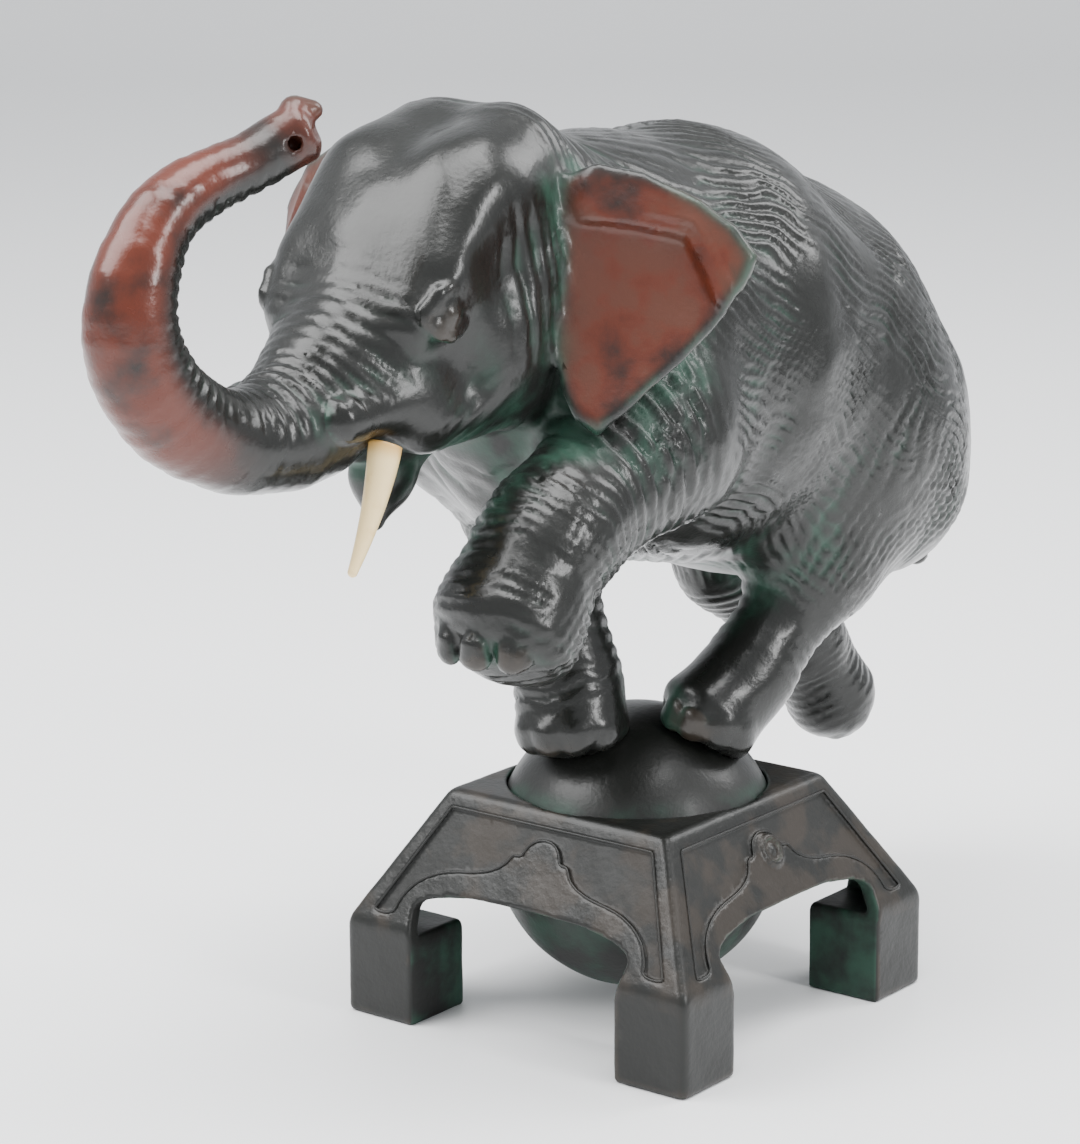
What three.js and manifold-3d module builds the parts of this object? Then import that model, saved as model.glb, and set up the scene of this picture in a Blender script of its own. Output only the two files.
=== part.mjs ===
// A bronze elephant balancing on a ball, with the ball held in a pierced four-legged stand.
// Millimetres, +Z up. The elephant heads along -Y, its left side is +X. The stand's middle is the
// middle of everything, and the whole group is moved at the end so its box stands on z = 0 and is
// centred on the Z axis.
//
// The animal is modelled as a field of signed distances built from limbs (tapered capsules with
// oval sections) that melt into each other, which is then meshed and thinned to a faceted solid.
import * as THREE from "three";
import { mergeVertices } from "three/addons/utils/BufferGeometryUtils.js";
import Module from "manifold-3d";

// ---- stand ----
const STAND_HALF = 60; // half side of the square footprint
const STAND_TOP_HALF = 38.6; // half side of the top plate
const STAND_LEG_HEIGHT = 28.1; // straight part of a leg, under the sloping faces
const STAND_HEIGHT = 65.9;
const STAND_LEG_WIDTH = 24; // along each side
const STAND_EDGE = 1.6; // softened arrises
const STAND_WALL = 4.2; // thickness of the sloping faces and the top
const ARCH_RISE = 40.1; // height of the middle of each arch
const ARCH_SHOULDER = 34.5; // height where the arch leaves the straight leg edge
const PANEL_DEPTH = 1.0; // how far the field of each face lies below its border
const PANEL_BORDER = 4.0; // width of the raised border
const BOSS_RADIUS = [4.6, 4.8]; // the oval boss on the +X face, half width and half height

// ---- ball ----
const BALL_RADIUS = 41.5;
const BALL_CENTRE = 47;
const FIT = 0.3; // air left between pieces that touch

// ---- tusk ----
const TUSK_ROOT = [19.5, -133, 189];
const TUSK_TIP = [20.5, -147.5, 159];
const TUSK_ROOT_RADIUS = 4.4;
const TUSK_TIP_RADIUS = 1.3;
const TUSK_SAG = 1.6; // how far the tusk bows backward at half its length

// ---- elephant ----
const FIELD_STEP = 2.6; // spacing of the field the animal is meshed from
const BODY_TRIANGLES = 5380;
const EAR_STEP = 1.3; // the ears are thin, so they are meshed finer
const EAR_TRIANGLES = 530;
const EAR_THICKNESS = 3.8;
const TRUNK_BLEND = 2.0;

// The trunk from the face to the tip: middle of the section, then half width and half height.
const TRUNK = [
  [[0, -122, 207], [22, 20]],
  [[0, -142, 195.5], [17.5, 16]],
  [[0, -158.6, 192], [14.2, 13]],
  [[0, -174, 195], [12.2, 12]],
  [[0, -187.3, 201.9], [11.9, 11.9]],
  [[0, -197.3, 211.7], [11.7, 11.7]],
  [[0, -202.2, 223.7], [11.1, 11.1]],
  [[0, -201, 235.8], [10.2, 10.2]],
  [[0, -195, 246.5], [9, 9]],
  [[1, -186.7, 254.2], [7.9, 7.9]],
  [[3, -177.3, 258.5], [6.9, 6.9]],
  [[6.5, -167.4, 261.8], [6.4, 6.4]],
  [[10.5, -159, 266.4], [6.6, 6.6]],
];

// The ear in its own plane, u outward and v up from its root: the rim, and the fold line that
// parts the raised upper band from the dished inner face.
const EAR_ROOT = [31, -77, 232];
const EAR_NORMAL = [0.328, -0.918, 0.222];
const EAR_RIM = [
  [-6, -2], [-5, 14], [0, 19], [10, 22.5], [23, 20.5], [37, 14.5], [46, 8], [51.6, 1],
  [49, -7], [44.7, -14], [37, -23], [24.5, -36], [13.8, -46.7], [8, -43], [4, -36],
  [0.2, -25.6], [-2, -15],
];
const EAR_FOLD = [
  [-6, 9], [4, 8.2], [20, 7.4], [34, 5], [38, -2], [44.5, -13],
  [60, -30], [60, 40], [-20, 40], [-20, 9],
];

const BRONZE = { color: 0x2b2f29, roughness: 0.34, metalness: 0.85 };
const IVORY = { color: 0xe6cf95, roughness: 0.45, metalness: 0 };

const wasm = await Module();
wasm.setup();

// ---------------------------------------------------------------- small vector help

const vec = (p) => new THREE.Vector3(...p);

// Melts two distances together over a length k.
function blend(a, b, k) {
  if (k <= 0) {
    return Math.min(a, b);
  }
  const h = Math.max(k - Math.abs(a - b), 0) / k;
  return Math.min(a, b) - h * h * k * 0.25;
}

// Distance in the plane to a closed outline, negative inside it.
function outlineDistance(u, v, points) {
  let nearest = Infinity;
  let inside = false;
  for (let i = 0; i < points.length; i++) {
    const [au, av] = points[i];
    const [bu, bv] = points[(i + 1) % points.length];
    const eu = bu - au;
    const ev = bv - av;
    const t = Math.min(1, Math.max(0, ((u - au) * eu + (v - av) * ev) / (eu * eu + ev * ev)));
    nearest = Math.min(nearest, Math.hypot(u - au - eu * t, v - av - ev * t));
    if (av > v !== bv > v && u < au + ((v - av) * eu) / ev) {
      inside = !inside;
    }
  }
  return inside ? -nearest : nearest;
}

// ---------------------------------------------------------------- the field

class Sculpt {
  constructor(low, high, step) {
    this.low = low;
    this.step = step;
    this.size = low.map((v, i) => Math.ceil((high[i] - v) / step) + 1);
    this.field = new Float32Array(this.size[0] * this.size[1] * this.size[2]).fill(50);
  }

  // Visits every point of the grid inside a box and lets the callback give its new distance.
  visit(low, high, change) {
    const { size, step } = this;
    const from = low.map((v, i) => Math.max(0, Math.floor((v - this.low[i]) / step)));
    const to = high.map((v, i) => Math.min(size[i] - 1, Math.ceil((v - this.low[i]) / step)));
    for (let i = from[0]; i <= to[0]; i++) {
      for (let j = from[1]; j <= to[1]; j++) {
        for (let k = from[2]; k <= to[2]; k++) {
          const at = (i * size[1] + j) * size[2] + k;
          this.field[at] = change(
            this.low[0] + i * step,
            this.low[1] + j * step,
            this.low[2] + k * step,
            this.field[at],
          );
        }
      }
    }
  }

  // A limb from a to b. Its radii are [across, other, along], the last for its rounded ends.
  limb(a, b, ra, rb, { k = 8, side = [1, 0, 0], mirror = false, cut = false } = {}) {
    for (const sign of mirror ? [1, -1] : [1]) {
      const flip = (p) => [p[0] * sign, p[1], p[2]];
      this.oneLimb(flip(a), flip(b), ra, rb, k, flip(side), cut);
    }
  }

  oneLimb(a, b, ra, rb, k, side, cut) {
    const start = vec(a);
    const along = vec(b).sub(start);
    const length = along.length();
    const w = length > 1e-6 ? along.clone().divideScalar(length) : new THREE.Vector3(0, 0, 1);
    const s = vec(side).addScaledVector(w, -vec(side).dot(w)).normalize();
    const n = new THREE.Vector3().crossVectors(w, s);
    const radii = (r) => (r.length > 2 ? r : [r[0], r[1], (r[0] + r[1]) / 2]);
    const [as, an, aw] = radii(ra);
    const [bs, bn, bw] = radii(rb);
    const reach = Math.max(as, an, aw, bs, bn, bw) + k + 2 * this.step;
    const low = a.map((v, i) => Math.min(v, b[i]) - reach);
    const high = a.map((v, i) => Math.max(v, b[i]) + reach);
    this.visit(low, high, (px, py, pz, old) => {
      const x = px - a[0];
      const y = py - a[1];
      const z = pz - a[2];
      const pw = x * w.x + y * w.y + z * w.z;
      const t = length > 1e-6 ? Math.min(1, Math.max(0, pw / length)) : 0;
      const qs = (x * s.x + y * s.y + z * s.z) / (as + (bs - as) * t);
      const qn = (x * n.x + y * n.y + z * n.z) / (an + (bn - an) * t);
      const qw = (pw - t * length) / (aw + (bw - aw) * t);
      const k0 = Math.hypot(qs, qn, qw);
      const k1 = Math.hypot(
        qs / (as + (bs - as) * t),
        qn / (an + (bn - an) * t),
        qw / (aw + (bw - aw) * t),
      );
      const d = (k0 * (k0 - 1)) / (k1 + 1e-9);
      return cut ? -blend(-old, d, k) : blend(old, d, k);
    });
  }

  // A run of limbs through sections [middle, radii], with in-between sections on a smooth curve.
  chain(sections, parts, options) {
    const middle = new THREE.CatmullRomCurve3(sections.map((q) => vec(q[0])), false, "centripetal");
    const count = (sections.length - 1) * parts;
    const at = (i) => {
      const f = i / count;
      const g = f * (sections.length - 1);
      const lowIndex = Math.min(Math.floor(g), sections.length - 2);
      const t = g - lowIndex;
      const r = sections[lowIndex][1].map((v, j) => v + (sections[lowIndex + 1][1][j] - v) * t);
      return [middle.getPoint(f).toArray(), r];
    };
    for (let i = 0; i < count; i++) {
      const [a, ra] = at(i);
      const [b, rb] = at(i + 1);
      this.limb(a, b, ra, rb, options);
    }
  }

  // A free-standing ear: a dished sheet with a raised upper band and a thicker rim.
  ear(sign) {
    const flip = (p) => vec([p[0] * sign, p[1], p[2]]);
    const root = flip(EAR_ROOT);
    const n = flip(EAR_NORMAL).normalize();
    const u = new THREE.Vector3(-n.y * sign, n.x * sign, 0).normalize();
    const v = new THREE.Vector3().crossVectors(n, u).multiplyScalar(-sign);
    if (v.z < 0) {
      v.negate();
    }
    const box = new THREE.Box3();
    for (const a of [-10, 56]) {
      for (const b of [-52, 27]) {
        for (const c of [-14, 14]) {
          box.expandByPoint(
            root.clone().addScaledVector(u, a).addScaledVector(v, b).addScaledVector(n, c),
          );
        }
      }
    }
    this.visit(box.min.toArray(), box.max.toArray(), (px, py, pz, old) => {
      const x = px - root.x;
      const y = py - root.y;
      const z = pz - root.z;
      const pu = x * u.x + y * u.y + z * u.z;
      const pv = x * v.x + y * v.y + z * v.z;
      const pn = x * n.x + y * n.y + z * n.z;
      const rim = outlineDistance(pu, pv, EAR_RIM);
      const band = Math.min(1, Math.max(0, 0.5 - outlineDistance(pu, pv, EAR_FOLD) / 3));
      const step = band * band * (3 - 2 * band) * Math.min(1, Math.max(0, (pu + 2) / 10));
      const dish = Math.max(0, 1 - ((pu - 19) / 24) ** 2 - ((pv + 12) / 30) ** 2);
      const bend = -4 * dish + 2.2 * step - 0.0035 * (pu - 10) ** 2;
      const lip = Math.min(1, Math.max(0, 1 + rim / 2.6)) ** 2 * 0.8;
      const sheet = Math.abs(pn - bend) - EAR_THICKNESS / 2 - lip;
      const d = -blend(-sheet, -rim, 3);
      return blend(old, d * 0.85, 3);
    });
  }
}

// ---------------------------------------------------------------- meshing

// The six tetrahedra of a cell, all sharing its long diagonal, as corner numbers 0..7 (x + 2y + 4z).
const TETRAHEDRA = [
  [0, 1, 3, 7], [0, 3, 2, 7], [0, 2, 6, 7], [0, 6, 4, 7], [0, 4, 5, 7], [0, 5, 1, 7],
];

// The closed surface where the field is zero.
function surfaceOf({ field, size, low, step }) {
  const positions = [];
  const faces = [];
  const seen = new Map();
  const offset = [];
  for (let c = 0; c < 8; c++) {
    offset.push(((c & 1) * size[1] + ((c >> 1) & 1)) * size[2] + (c >> 2));
  }
  const crossing = (cell, base, a, b) => {
    const [p, q] = a < b ? [a, b] : [b, a];
    const key = (base + offset[p]) * 8 + (p ^ q);
    const known = seen.get(key);
    if (known !== undefined) {
      return known;
    }
    const fa = field[base + offset[p]];
    const fb = field[base + offset[q]];
    const t = Math.min(0.999, Math.max(0.001, fa / (fa - fb)));
    const at = (c, i) => cell[i] + ((c >> i) & 1);
    for (let i = 0; i < 3; i++) {
      positions.push(low[i] + step * (at(p, i) + (at(q, i) - at(p, i)) * t));
    }
    seen.set(key, positions.length / 3 - 1);
    return positions.length / 3 - 1;
  };
  for (let i = 0; i < size[0] - 1; i++) {
    for (let j = 0; j < size[1] - 1; j++) {
      for (let k = 0; k < size[2] - 1; k++) {
        const base = (i * size[1] + j) * size[2] + k;
        let inside = 0;
        for (let c = 0; c < 8; c++) {
          inside += field[base + offset[c]] < 0 ? 1 : 0;
        }
        if (inside === 0 || inside === 8) {
          continue;
        }
        for (const tet of TETRAHEDRA) {
          cutTetrahedron(tet, (c) => field[base + offset[c]] < 0, (a, b) =>
            crossing([i, j, k], base, a, b), faces);
        }
      }
    }
  }
  return { positions: Float64Array.from(positions), faces };
}

// Adds the one or two triangles that part the inside corners of a tetrahedron from the outside ones.
function cutTetrahedron(tet, isInside, crossing, faces) {
  const flags = tet.map(isInside);
  const count = flags.filter(Boolean).length;
  if (count === 0 || count === 4) {
    return;
  }
  // Order the corners so the inside ones come first and the order stays an even permutation.
  const order = [...tet.keys()].sort((a, b) => Number(flags[b]) - Number(flags[a]) || a - b);
  let swaps = 0;
  for (let a = 0; a < 4; a++) {
    for (let b = a + 1; b < 4; b++) {
      swaps += order[a] > order[b] ? 1 : 0;
    }
  }
  if (swaps % 2) {
    [order[2], order[3]] = count === 3 ? [order[2], order[3]] : [order[3], order[2]];
    if (count === 3) {
      [order[0], order[1]] = [order[1], order[0]];
    }
  }
  const [a, b, c, d] = order.map((i) => tet[i]);
  if (count === 1) {
    faces.push([crossing(a, b), crossing(a, c), crossing(a, d)]);
  } else if (count === 3) {
    faces.push([crossing(a, d), crossing(b, d), crossing(c, d)]);
  } else {
    const ac = crossing(a, c);
    const ad = crossing(a, d);
    const bc = crossing(b, c);
    const bd = crossing(b, d);
    faces.push([ac, ad, bd], [ac, bd, bc]);
  }
}

// ---------------------------------------------------------------- thinning

// Binary heap of [cost, a, b, stamp], the cheapest first.
class Heap {
  constructor() {
    this.items = [];
  }

  push(item) {
    const { items } = this;
    let i = items.push(item) - 1;
    while (i > 0) {
      const parent = (i - 1) >> 1;
      if (items[parent][0] <= items[i][0]) {
        break;
      }
      [items[parent], items[i]] = [items[i], items[parent]];
      i = parent;
    }
  }

  pop() {
    const { items } = this;
    const top = items[0];
    const last = items.pop();
    if (items.length) {
      items[0] = last;
      let i = 0;
      for (;;) {
        const left = 2 * i + 1;
        const right = left + 1;
        let least = i;
        if (left < items.length && items[left][0] < items[least][0]) {
          least = left;
        }
        if (right < items.length && items[right][0] < items[least][0]) {
          least = right;
        }
        if (least === i) {
          break;
        }
        [items[least], items[i]] = [items[i], items[least]];
        i = least;
      }
    }
    return top;
  }
}

// Collapses edges, the flattest first, until about the wanted number of triangles is left.
class Thinner {
  constructor({ positions, faces }) {
    this.p = positions;
    this.faces = faces.map((f) => f.slice());
    this.alive = faces.map(() => true);
    this.count = faces.length;
    const vertices = positions.length / 3;
    this.around = Array.from({ length: vertices }, () => []);
    this.stamp = new Int32Array(vertices);
    this.quadric = new Float64Array(vertices * 10);
    this.sum = new Float64Array(10);
    this.spot = [0, 0, 0];
    this.faces.forEach((f, i) => {
      f.forEach((v) => this.around[v].push(i));
      this.addPlane(f);
    });
  }

  // Normal of a face, as long as twice its area, with one vertex moved if asked.
  normal(f, moved, to) {
    const { p } = this;
    const x = (k, i) => (f[k] === moved ? to[i] : p[3 * f[k] + i]);
    const ax = x(0, 0);
    const ay = x(0, 1);
    const az = x(0, 2);
    const ux = x(1, 0) - ax;
    const uy = x(1, 1) - ay;
    const uz = x(1, 2) - az;
    const vx = x(2, 0) - ax;
    const vy = x(2, 1) - ay;
    const vz = x(2, 2) - az;
    const longest = Math.max(
      ux * ux + uy * uy + uz * uz,
      vx * vx + vy * vy + vz * vz,
      (ux - vx) ** 2 + (uy - vy) ** 2 + (uz - vz) ** 2,
    );
    return [uy * vz - uz * vy, uz * vx - ux * vz, ux * vy - uy * vx, longest];
  }

  addPlane(f) {
    const [nx, ny, nz] = this.normal(f, -1);
    const area = Math.hypot(nx, ny, nz);
    if (area < 1e-12) {
      return;
    }
    const a = nx / area;
    const b = ny / area;
    const c = nz / area;
    const d = -(a * this.p[3 * f[0]] + b * this.p[3 * f[0] + 1] + c * this.p[3 * f[0] + 2]);
    const parts = [a * a, a * b, a * c, a * d, b * b, b * c, b * d, c * c, c * d, d * d];
    for (const v of f) {
      for (let i = 0; i < 10; i++) {
        this.quadric[10 * v + i] += parts[i] * area;
      }
    }
  }

  // Puts the best place for the merged vertex in this.spot and returns what it costs.
  place(a, b) {
    const { p, sum: q, spot } = this;
    for (let i = 0; i < 10; i++) {
      q[i] = this.quadric[10 * a + i] + this.quadric[10 * b + i];
    }
    const mx = (p[3 * a] + p[3 * b]) / 2;
    const my = (p[3 * a + 1] + p[3 * b + 1]) / 2;
    const mz = (p[3 * a + 2] + p[3 * b + 2]) / 2;
    const span = Math.hypot(
      p[3 * a] - p[3 * b],
      p[3 * a + 1] - p[3 * b + 1],
      p[3 * a + 2] - p[3 * b + 2],
    );
    // A light pull to the middle of the edge keeps the answer steady where the surface is flat.
    const pull = 0.004 * (q[0] + q[4] + q[7]) + 1e-9;
    const [axx, ayy, azz] = [q[0] + pull, q[4] + pull, q[7] + pull];
    const [rx, ry, rz] = [pull * mx - q[3], pull * my - q[6], pull * mz - q[8]];
    const c0 = ayy * azz - q[5] * q[5];
    const c1 = q[1] * azz - q[5] * q[2];
    const c2 = q[1] * q[5] - ayy * q[2];
    const det = axx * c0 - q[1] * c1 + q[2] * c2;
    let x = (rx * c0 - q[1] * (ry * azz - q[5] * rz) + q[2] * (ry * q[5] - ayy * rz)) / det;
    let y = (axx * (ry * azz - q[5] * rz) - rx * c1 + q[2] * (q[1] * rz - ry * q[2])) / det;
    let z = (axx * (ayy * rz - ry * q[5]) - q[1] * (q[1] * rz - ry * q[2]) + rx * c2) / det;
    if (!(Math.hypot(x - mx, y - my, z - mz) < span)) {
      x = mx;
      y = my;
      z = mz;
    }
    spot[0] = x;
    spot[1] = y;
    spot[2] = z;
    const cost =
      q[0] * x * x + 2 * q[1] * x * y + 2 * q[2] * x * z + 2 * q[3] * x + q[4] * y * y +
      2 * q[5] * y * z + 2 * q[6] * y + q[7] * z * z + 2 * q[8] * z + q[9];
    return Math.max(0, cost) + 1e-3 * span * span * span;
  }

  consider(a, b) {
    this.heap.push([this.place(a, b), a, b, this.stamp[a] + this.stamp[b]]);
  }

  neighbours(v) {
    const found = new Set();
    for (const i of this.around[v]) {
      const f = this.faces[i];
      found.add(f[0]).add(f[1]).add(f[2]);
    }
    found.delete(v);
    return found;
  }

  // A collapse is refused where it would pinch the surface, turn a face over or leave a sliver.
  allowed(a, b, spot) {
    const nb = this.neighbours(b);
    let shared = 0;
    for (const v of this.neighbours(a)) {
      shared += nb.has(v) ? 1 : 0;
    }
    if (shared !== 2) {
      return false;
    }
    const mean = [0, 0, 0];
    for (const i of [...this.around[a], ...this.around[b]]) {
      const n = this.normal(this.faces[i], -1);
      mean[0] += n[0];
      mean[1] += n[1];
      mean[2] += n[2];
    }
    return this.keepsFaces(a, b, spot, mean) && this.keepsFaces(b, a, spot, mean);
  }

  // Whether the faces round a vertex stay sound once it moves. A face that was a sliver has no
  // direction of its own worth keeping, so it is held to the mean direction instead.
  keepsFaces(v, other, spot, mean) {
    const lm = Math.hypot(mean[0], mean[1], mean[2]);
    for (const i of this.around[v]) {
      const f = this.faces[i];
      if (f[0] === other || f[1] === other || f[2] === other) {
        continue;
      }
      const before = this.normal(f, -1);
      const after = this.normal(f, v, spot);
      const lb = Math.hypot(before[0], before[1], before[2]);
      const la = Math.hypot(after[0], after[1], after[2]);
      const was = lb / (before[3] + 1e-12);
      const shape = la / (after[3] + 1e-12);
      const [guide, size] = was < 0.15 ? [mean, lm] : [before, lb];
      const dot = guide[0] * after[0] + guide[1] * after[1] + guide[2] * after[2];
      if (dot < 0.2 * size * la || (shape < 0.06 && shape < was)) {
        return false;
      }
    }
    return true;
  }

  run(wanted) {
    for (let pass = 0; pass < 6 && this.count > wanted; pass++) {
      this.heap = new Heap();
      this.faces.forEach((f, i) => {
        for (let e = 0; e < 3 && this.alive[i]; e++) {
          if (f[e] < f[(e + 1) % 3]) {
            this.consider(f[e], f[(e + 1) % 3]);
          }
        }
      });
      this.drain(wanted);
    }
    return this.result();
  }

  drain(wanted) {
    while (this.count > wanted && this.heap.items.length) {
      const [, a, b, stamp] = this.heap.pop();
      if (!this.around[a].length || !this.around[b].length) {
        continue;
      }
      if (this.stamp[a] + this.stamp[b] !== stamp) {
        continue;
      }
      this.place(a, b);
      if (this.allowed(a, b, this.spot) || this.endAllowed(a, b) || this.endAllowed(b, a)) {
        this.collapse(a, b);
      }
    }
  }

  // Tries one end of the edge as the place of the merged vertex.
  endAllowed(a, b) {
    for (let i = 0; i < 3; i++) {
      this.spot[i] = this.p[3 * a + i];
    }
    return this.allowed(a, b, this.spot);
  }

  collapse(a, b) {
    for (let i = 0; i < 3; i++) {
      this.p[3 * a + i] = this.spot[i];
    }
    for (let i = 0; i < 10; i++) {
      this.quadric[10 * a + i] += this.quadric[10 * b + i];
    }
    for (const i of this.around[b]) {
      const f = this.faces[i];
      if (f.includes(a)) {
        this.alive[i] = false;
        this.count -= 1;
        for (const v of f) {
          if (v !== b) {
            this.around[v] = this.around[v].filter((j) => j !== i);
          }
        }
      } else {
        f[f.indexOf(b)] = a;
        this.around[a].push(i);
      }
    }
    this.around[b] = [];
    this.stamp[a] += 1;
    this.stamp[b] += 1;
    for (const v of this.neighbours(a)) {
      this.consider(a, v);
    }
  }

  result() {
    const number = new Map();
    const positions = [];
    const triangles = [];
    this.faces.forEach((f, i) => {
      if (!this.alive[i]) {
        return;
      }
      for (const v of f) {
        if (!number.has(v)) {
          number.set(v, positions.length / 3);
          positions.push(this.p[3 * v], this.p[3 * v + 1], this.p[3 * v + 2]);
        }
        triangles.push(number.get(v));
      }
    });
    const g = new THREE.BufferGeometry();
    g.setAttribute("position", new THREE.Float32BufferAttribute(positions, 3));
    g.setIndex(triangles);
    return g;
  }
}

// ---------------------------------------------------------------- solids

// A geometry as a solid for joining and cutting.
function solid(geometry) {
  const g = geometry.clone();
  g.deleteAttribute("normal");
  g.deleteAttribute("uv");
  const merged = mergeVertices(g, 1e-4);
  const made = new wasm.Manifold(
    new wasm.Mesh({
      numProp: 3,
      vertProperties: merged.attributes.position.array,
      triVerts: new Uint32Array(merged.index.array),
    }),
  );
  if (made.volume() < 0) {
    throw new Error("a profile is inside out");
  }
  return made;
}

// A solid as a named mesh.
function meshOf(name, made, look) {
  const m = made.getMesh();
  const g = new THREE.BufferGeometry();
  g.setAttribute("position", new THREE.BufferAttribute(new Float32Array(m.vertProperties), 3));
  g.setIndex(new THREE.BufferAttribute(new Uint32Array(m.triVerts), 1));
  g.computeVertexNormals();
  const mesh = new THREE.Mesh(g, new THREE.MeshStandardMaterial(look));
  mesh.name = name;
  return mesh;
}

// A closed skin over rings of points, each ring given anticlockwise from above and the lowest first.
function loft(rings) {
  const count = rings[0].length;
  const positions = rings.flat(2);
  const index = [];
  for (let r = 0; r < rings.length - 1; r++) {
    for (let i = 0; i < count; i++) {
      const j = (i + 1) % count;
      const a = r * count;
      const b = a + count;
      index.push(a + i, a + j, b + j, a + i, b + j, b + i);
    }
  }
  const middles = [rings[0], rings[rings.length - 1]].map((ring) =>
    [0, 1, 2].map((k) => ring.reduce((sum, q) => sum + q[k], 0) / count),
  );
  const first = positions.length / 3;
  positions.push(...middles[0], ...middles[1]);
  const top = (rings.length - 1) * count;
  for (let i = 0; i < count; i++) {
    const j = (i + 1) % count;
    index.push(first, j, i);
    index.push(first + 1, top + i, top + j);
  }
  const g = new THREE.BufferGeometry();
  g.setAttribute("position", new THREE.Float32BufferAttribute(positions, 3));
  g.setIndex(index);
  return g;
}

// A square ring with rounded corners at height z.
function squareRing(half, radius, z, steps = 2) {
  const ring = [];
  for (let corner = 0; corner < 4; corner++) {
    const turn = (corner * Math.PI) / 2;
    const cx = (half - radius) * (corner === 0 || corner === 3 ? 1 : -1);
    const cy = (half - radius) * (corner < 2 ? 1 : -1);
    for (let i = 0; i <= steps; i++) {
      const a = turn + ((i / steps) * Math.PI) / 2;
      ring.push([cx + radius * Math.cos(a), cy + radius * Math.sin(a), z]);
    }
  }
  return ring;
}

function sphere(radius, across, down) {
  const g = new THREE.SphereGeometry(radius, across, down);
  g.rotateX(Math.PI / 2);
  return g.translate(0, 0, BALL_CENTRE);
}

// ---------------------------------------------------------------- stand

// Half side of the sloping body at height z.
function slopeHalf(z) {
  const t = (z - STAND_LEG_HEIGHT) / (STAND_HEIGHT - STAND_LEG_HEIGHT);
  return STAND_HALF + (STAND_TOP_HALF - STAND_HALF) * t;
}

function standBlock() {
  return solid(
    loft([
      squareRing(STAND_HALF - 1.4, STAND_EDGE, 0),
      squareRing(STAND_HALF - 0.2, STAND_EDGE + 0.4, 1.4),
      squareRing(STAND_HALF, STAND_EDGE, STAND_LEG_HEIGHT - 1),
      squareRing(slopeHalf(STAND_LEG_HEIGHT + 1), STAND_EDGE, STAND_LEG_HEIGHT + 1),
      squareRing(slopeHalf(STAND_HEIGHT - 0.9), STAND_EDGE, STAND_HEIGHT - 0.9),
      squareRing(slopeHalf(STAND_HEIGHT) - 1.0, STAND_EDGE, STAND_HEIGHT),
    ]),
  );
}

// The hollow under the sloping faces, down to the tops of the solid legs.
function standHollow() {
  const low = STAND_LEG_HEIGHT - 2;
  const high = STAND_HEIGHT - STAND_WALL;
  const inset = STAND_WALL * 1.15;
  return solid(
    loft([
      squareRing(slopeHalf(STAND_LEG_HEIGHT) - inset, 3, low),
      squareRing(slopeHalf(STAND_LEG_HEIGHT) - inset, 3, STAND_LEG_HEIGHT),
      squareRing(slopeHalf(high) - inset, 3, high),
    ]),
  );
}

// The opening between two legs, a low basket arch, as a prism that runs along Y.
function archPrism() {
  const leg = STAND_HALF - STAND_LEG_WIDTH;
  const shape = new THREE.Shape();
  shape.moveTo(-leg, -1);
  shape.lineTo(leg, -1);
  shape.lineTo(leg + 0.6, STAND_LEG_HEIGHT - 4);
  shape.lineTo(leg + 2, ARCH_SHOULDER - 1);
  shape.bezierCurveTo(leg + 2, 37.6, 27, 38.9, 18, ARCH_RISE - 0.2);
  shape.quadraticCurveTo(9, ARCH_RISE, 0, ARCH_RISE);
  shape.quadraticCurveTo(-9, ARCH_RISE, -18, ARCH_RISE - 0.2);
  shape.bezierCurveTo(-27, 38.9, -leg - 2, 37.6, -leg - 2, ARCH_SHOULDER - 1);
  shape.lineTo(-leg - 0.6, STAND_LEG_HEIGHT - 4);
  const g = new THREE.ExtrudeGeometry(shape, {
    depth: 2 * STAND_HALF + 4,
    bevelEnabled: false,
    curveSegments: 4,
  });
  return g.rotateX(Math.PI / 2).translate(0, STAND_HALF + 2, 0);
}

// Outline of the sunk field of a face: across and up the slope, from the foot of the slope.
function fieldShape() {
  const slope = Math.hypot(STAND_HEIGHT - STAND_LEG_HEIGHT, STAND_HALF - STAND_TOP_HALF);
  const top = slope - PANEL_BORDER - 1.2;
  const shape = new THREE.Shape();
  shape.moveTo(44, 5.5);
  shape.quadraticCurveTo(46, 3.8, 51, 4.6);
  shape.lineTo(STAND_TOP_HALF - PANEL_BORDER + 0.8, top);
  shape.lineTo(-STAND_TOP_HALF + PANEL_BORDER - 0.8, top);
  shape.lineTo(-51, 4.6);
  shape.quadraticCurveTo(-46, 3.8, -44, 5.5);
  shape.bezierCurveTo(-43, 13, -37, 18.6, -26, 20.4);
  shape.bezierCurveTo(-17, 21.6, -12, 23.5, -10, 28.6);
  shape.lineTo(-6.6, 29.2);
  shape.bezierCurveTo(-5.6, 33, -3, 34.6, 0, 34.6);
  shape.bezierCurveTo(3, 34.6, 5.6, 33, 6.6, 29.2);
  shape.lineTo(10, 28.6);
  shape.bezierCurveTo(12, 23.5, 17, 21.6, 26, 20.4);
  shape.bezierCurveTo(37, 18.6, 43, 13, 44, 5.5);
  return shape;
}

// Lays a flat piece drawn across (x) and up the slope (y) on the +X face, sunk by the given depth.
function ontoFace(geometry, depth) {
  const lean = Math.atan2(STAND_HALF - STAND_TOP_HALF, STAND_HEIGHT - STAND_LEG_HEIGHT);
  const g = geometry.clone().translate(0, 0, -depth);
  g.rotateX(Math.PI / 2).rotateZ(Math.PI / 2);
  return g.rotateY(-lean).translate(STAND_HALF, 0, STAND_LEG_HEIGHT);
}

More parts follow.
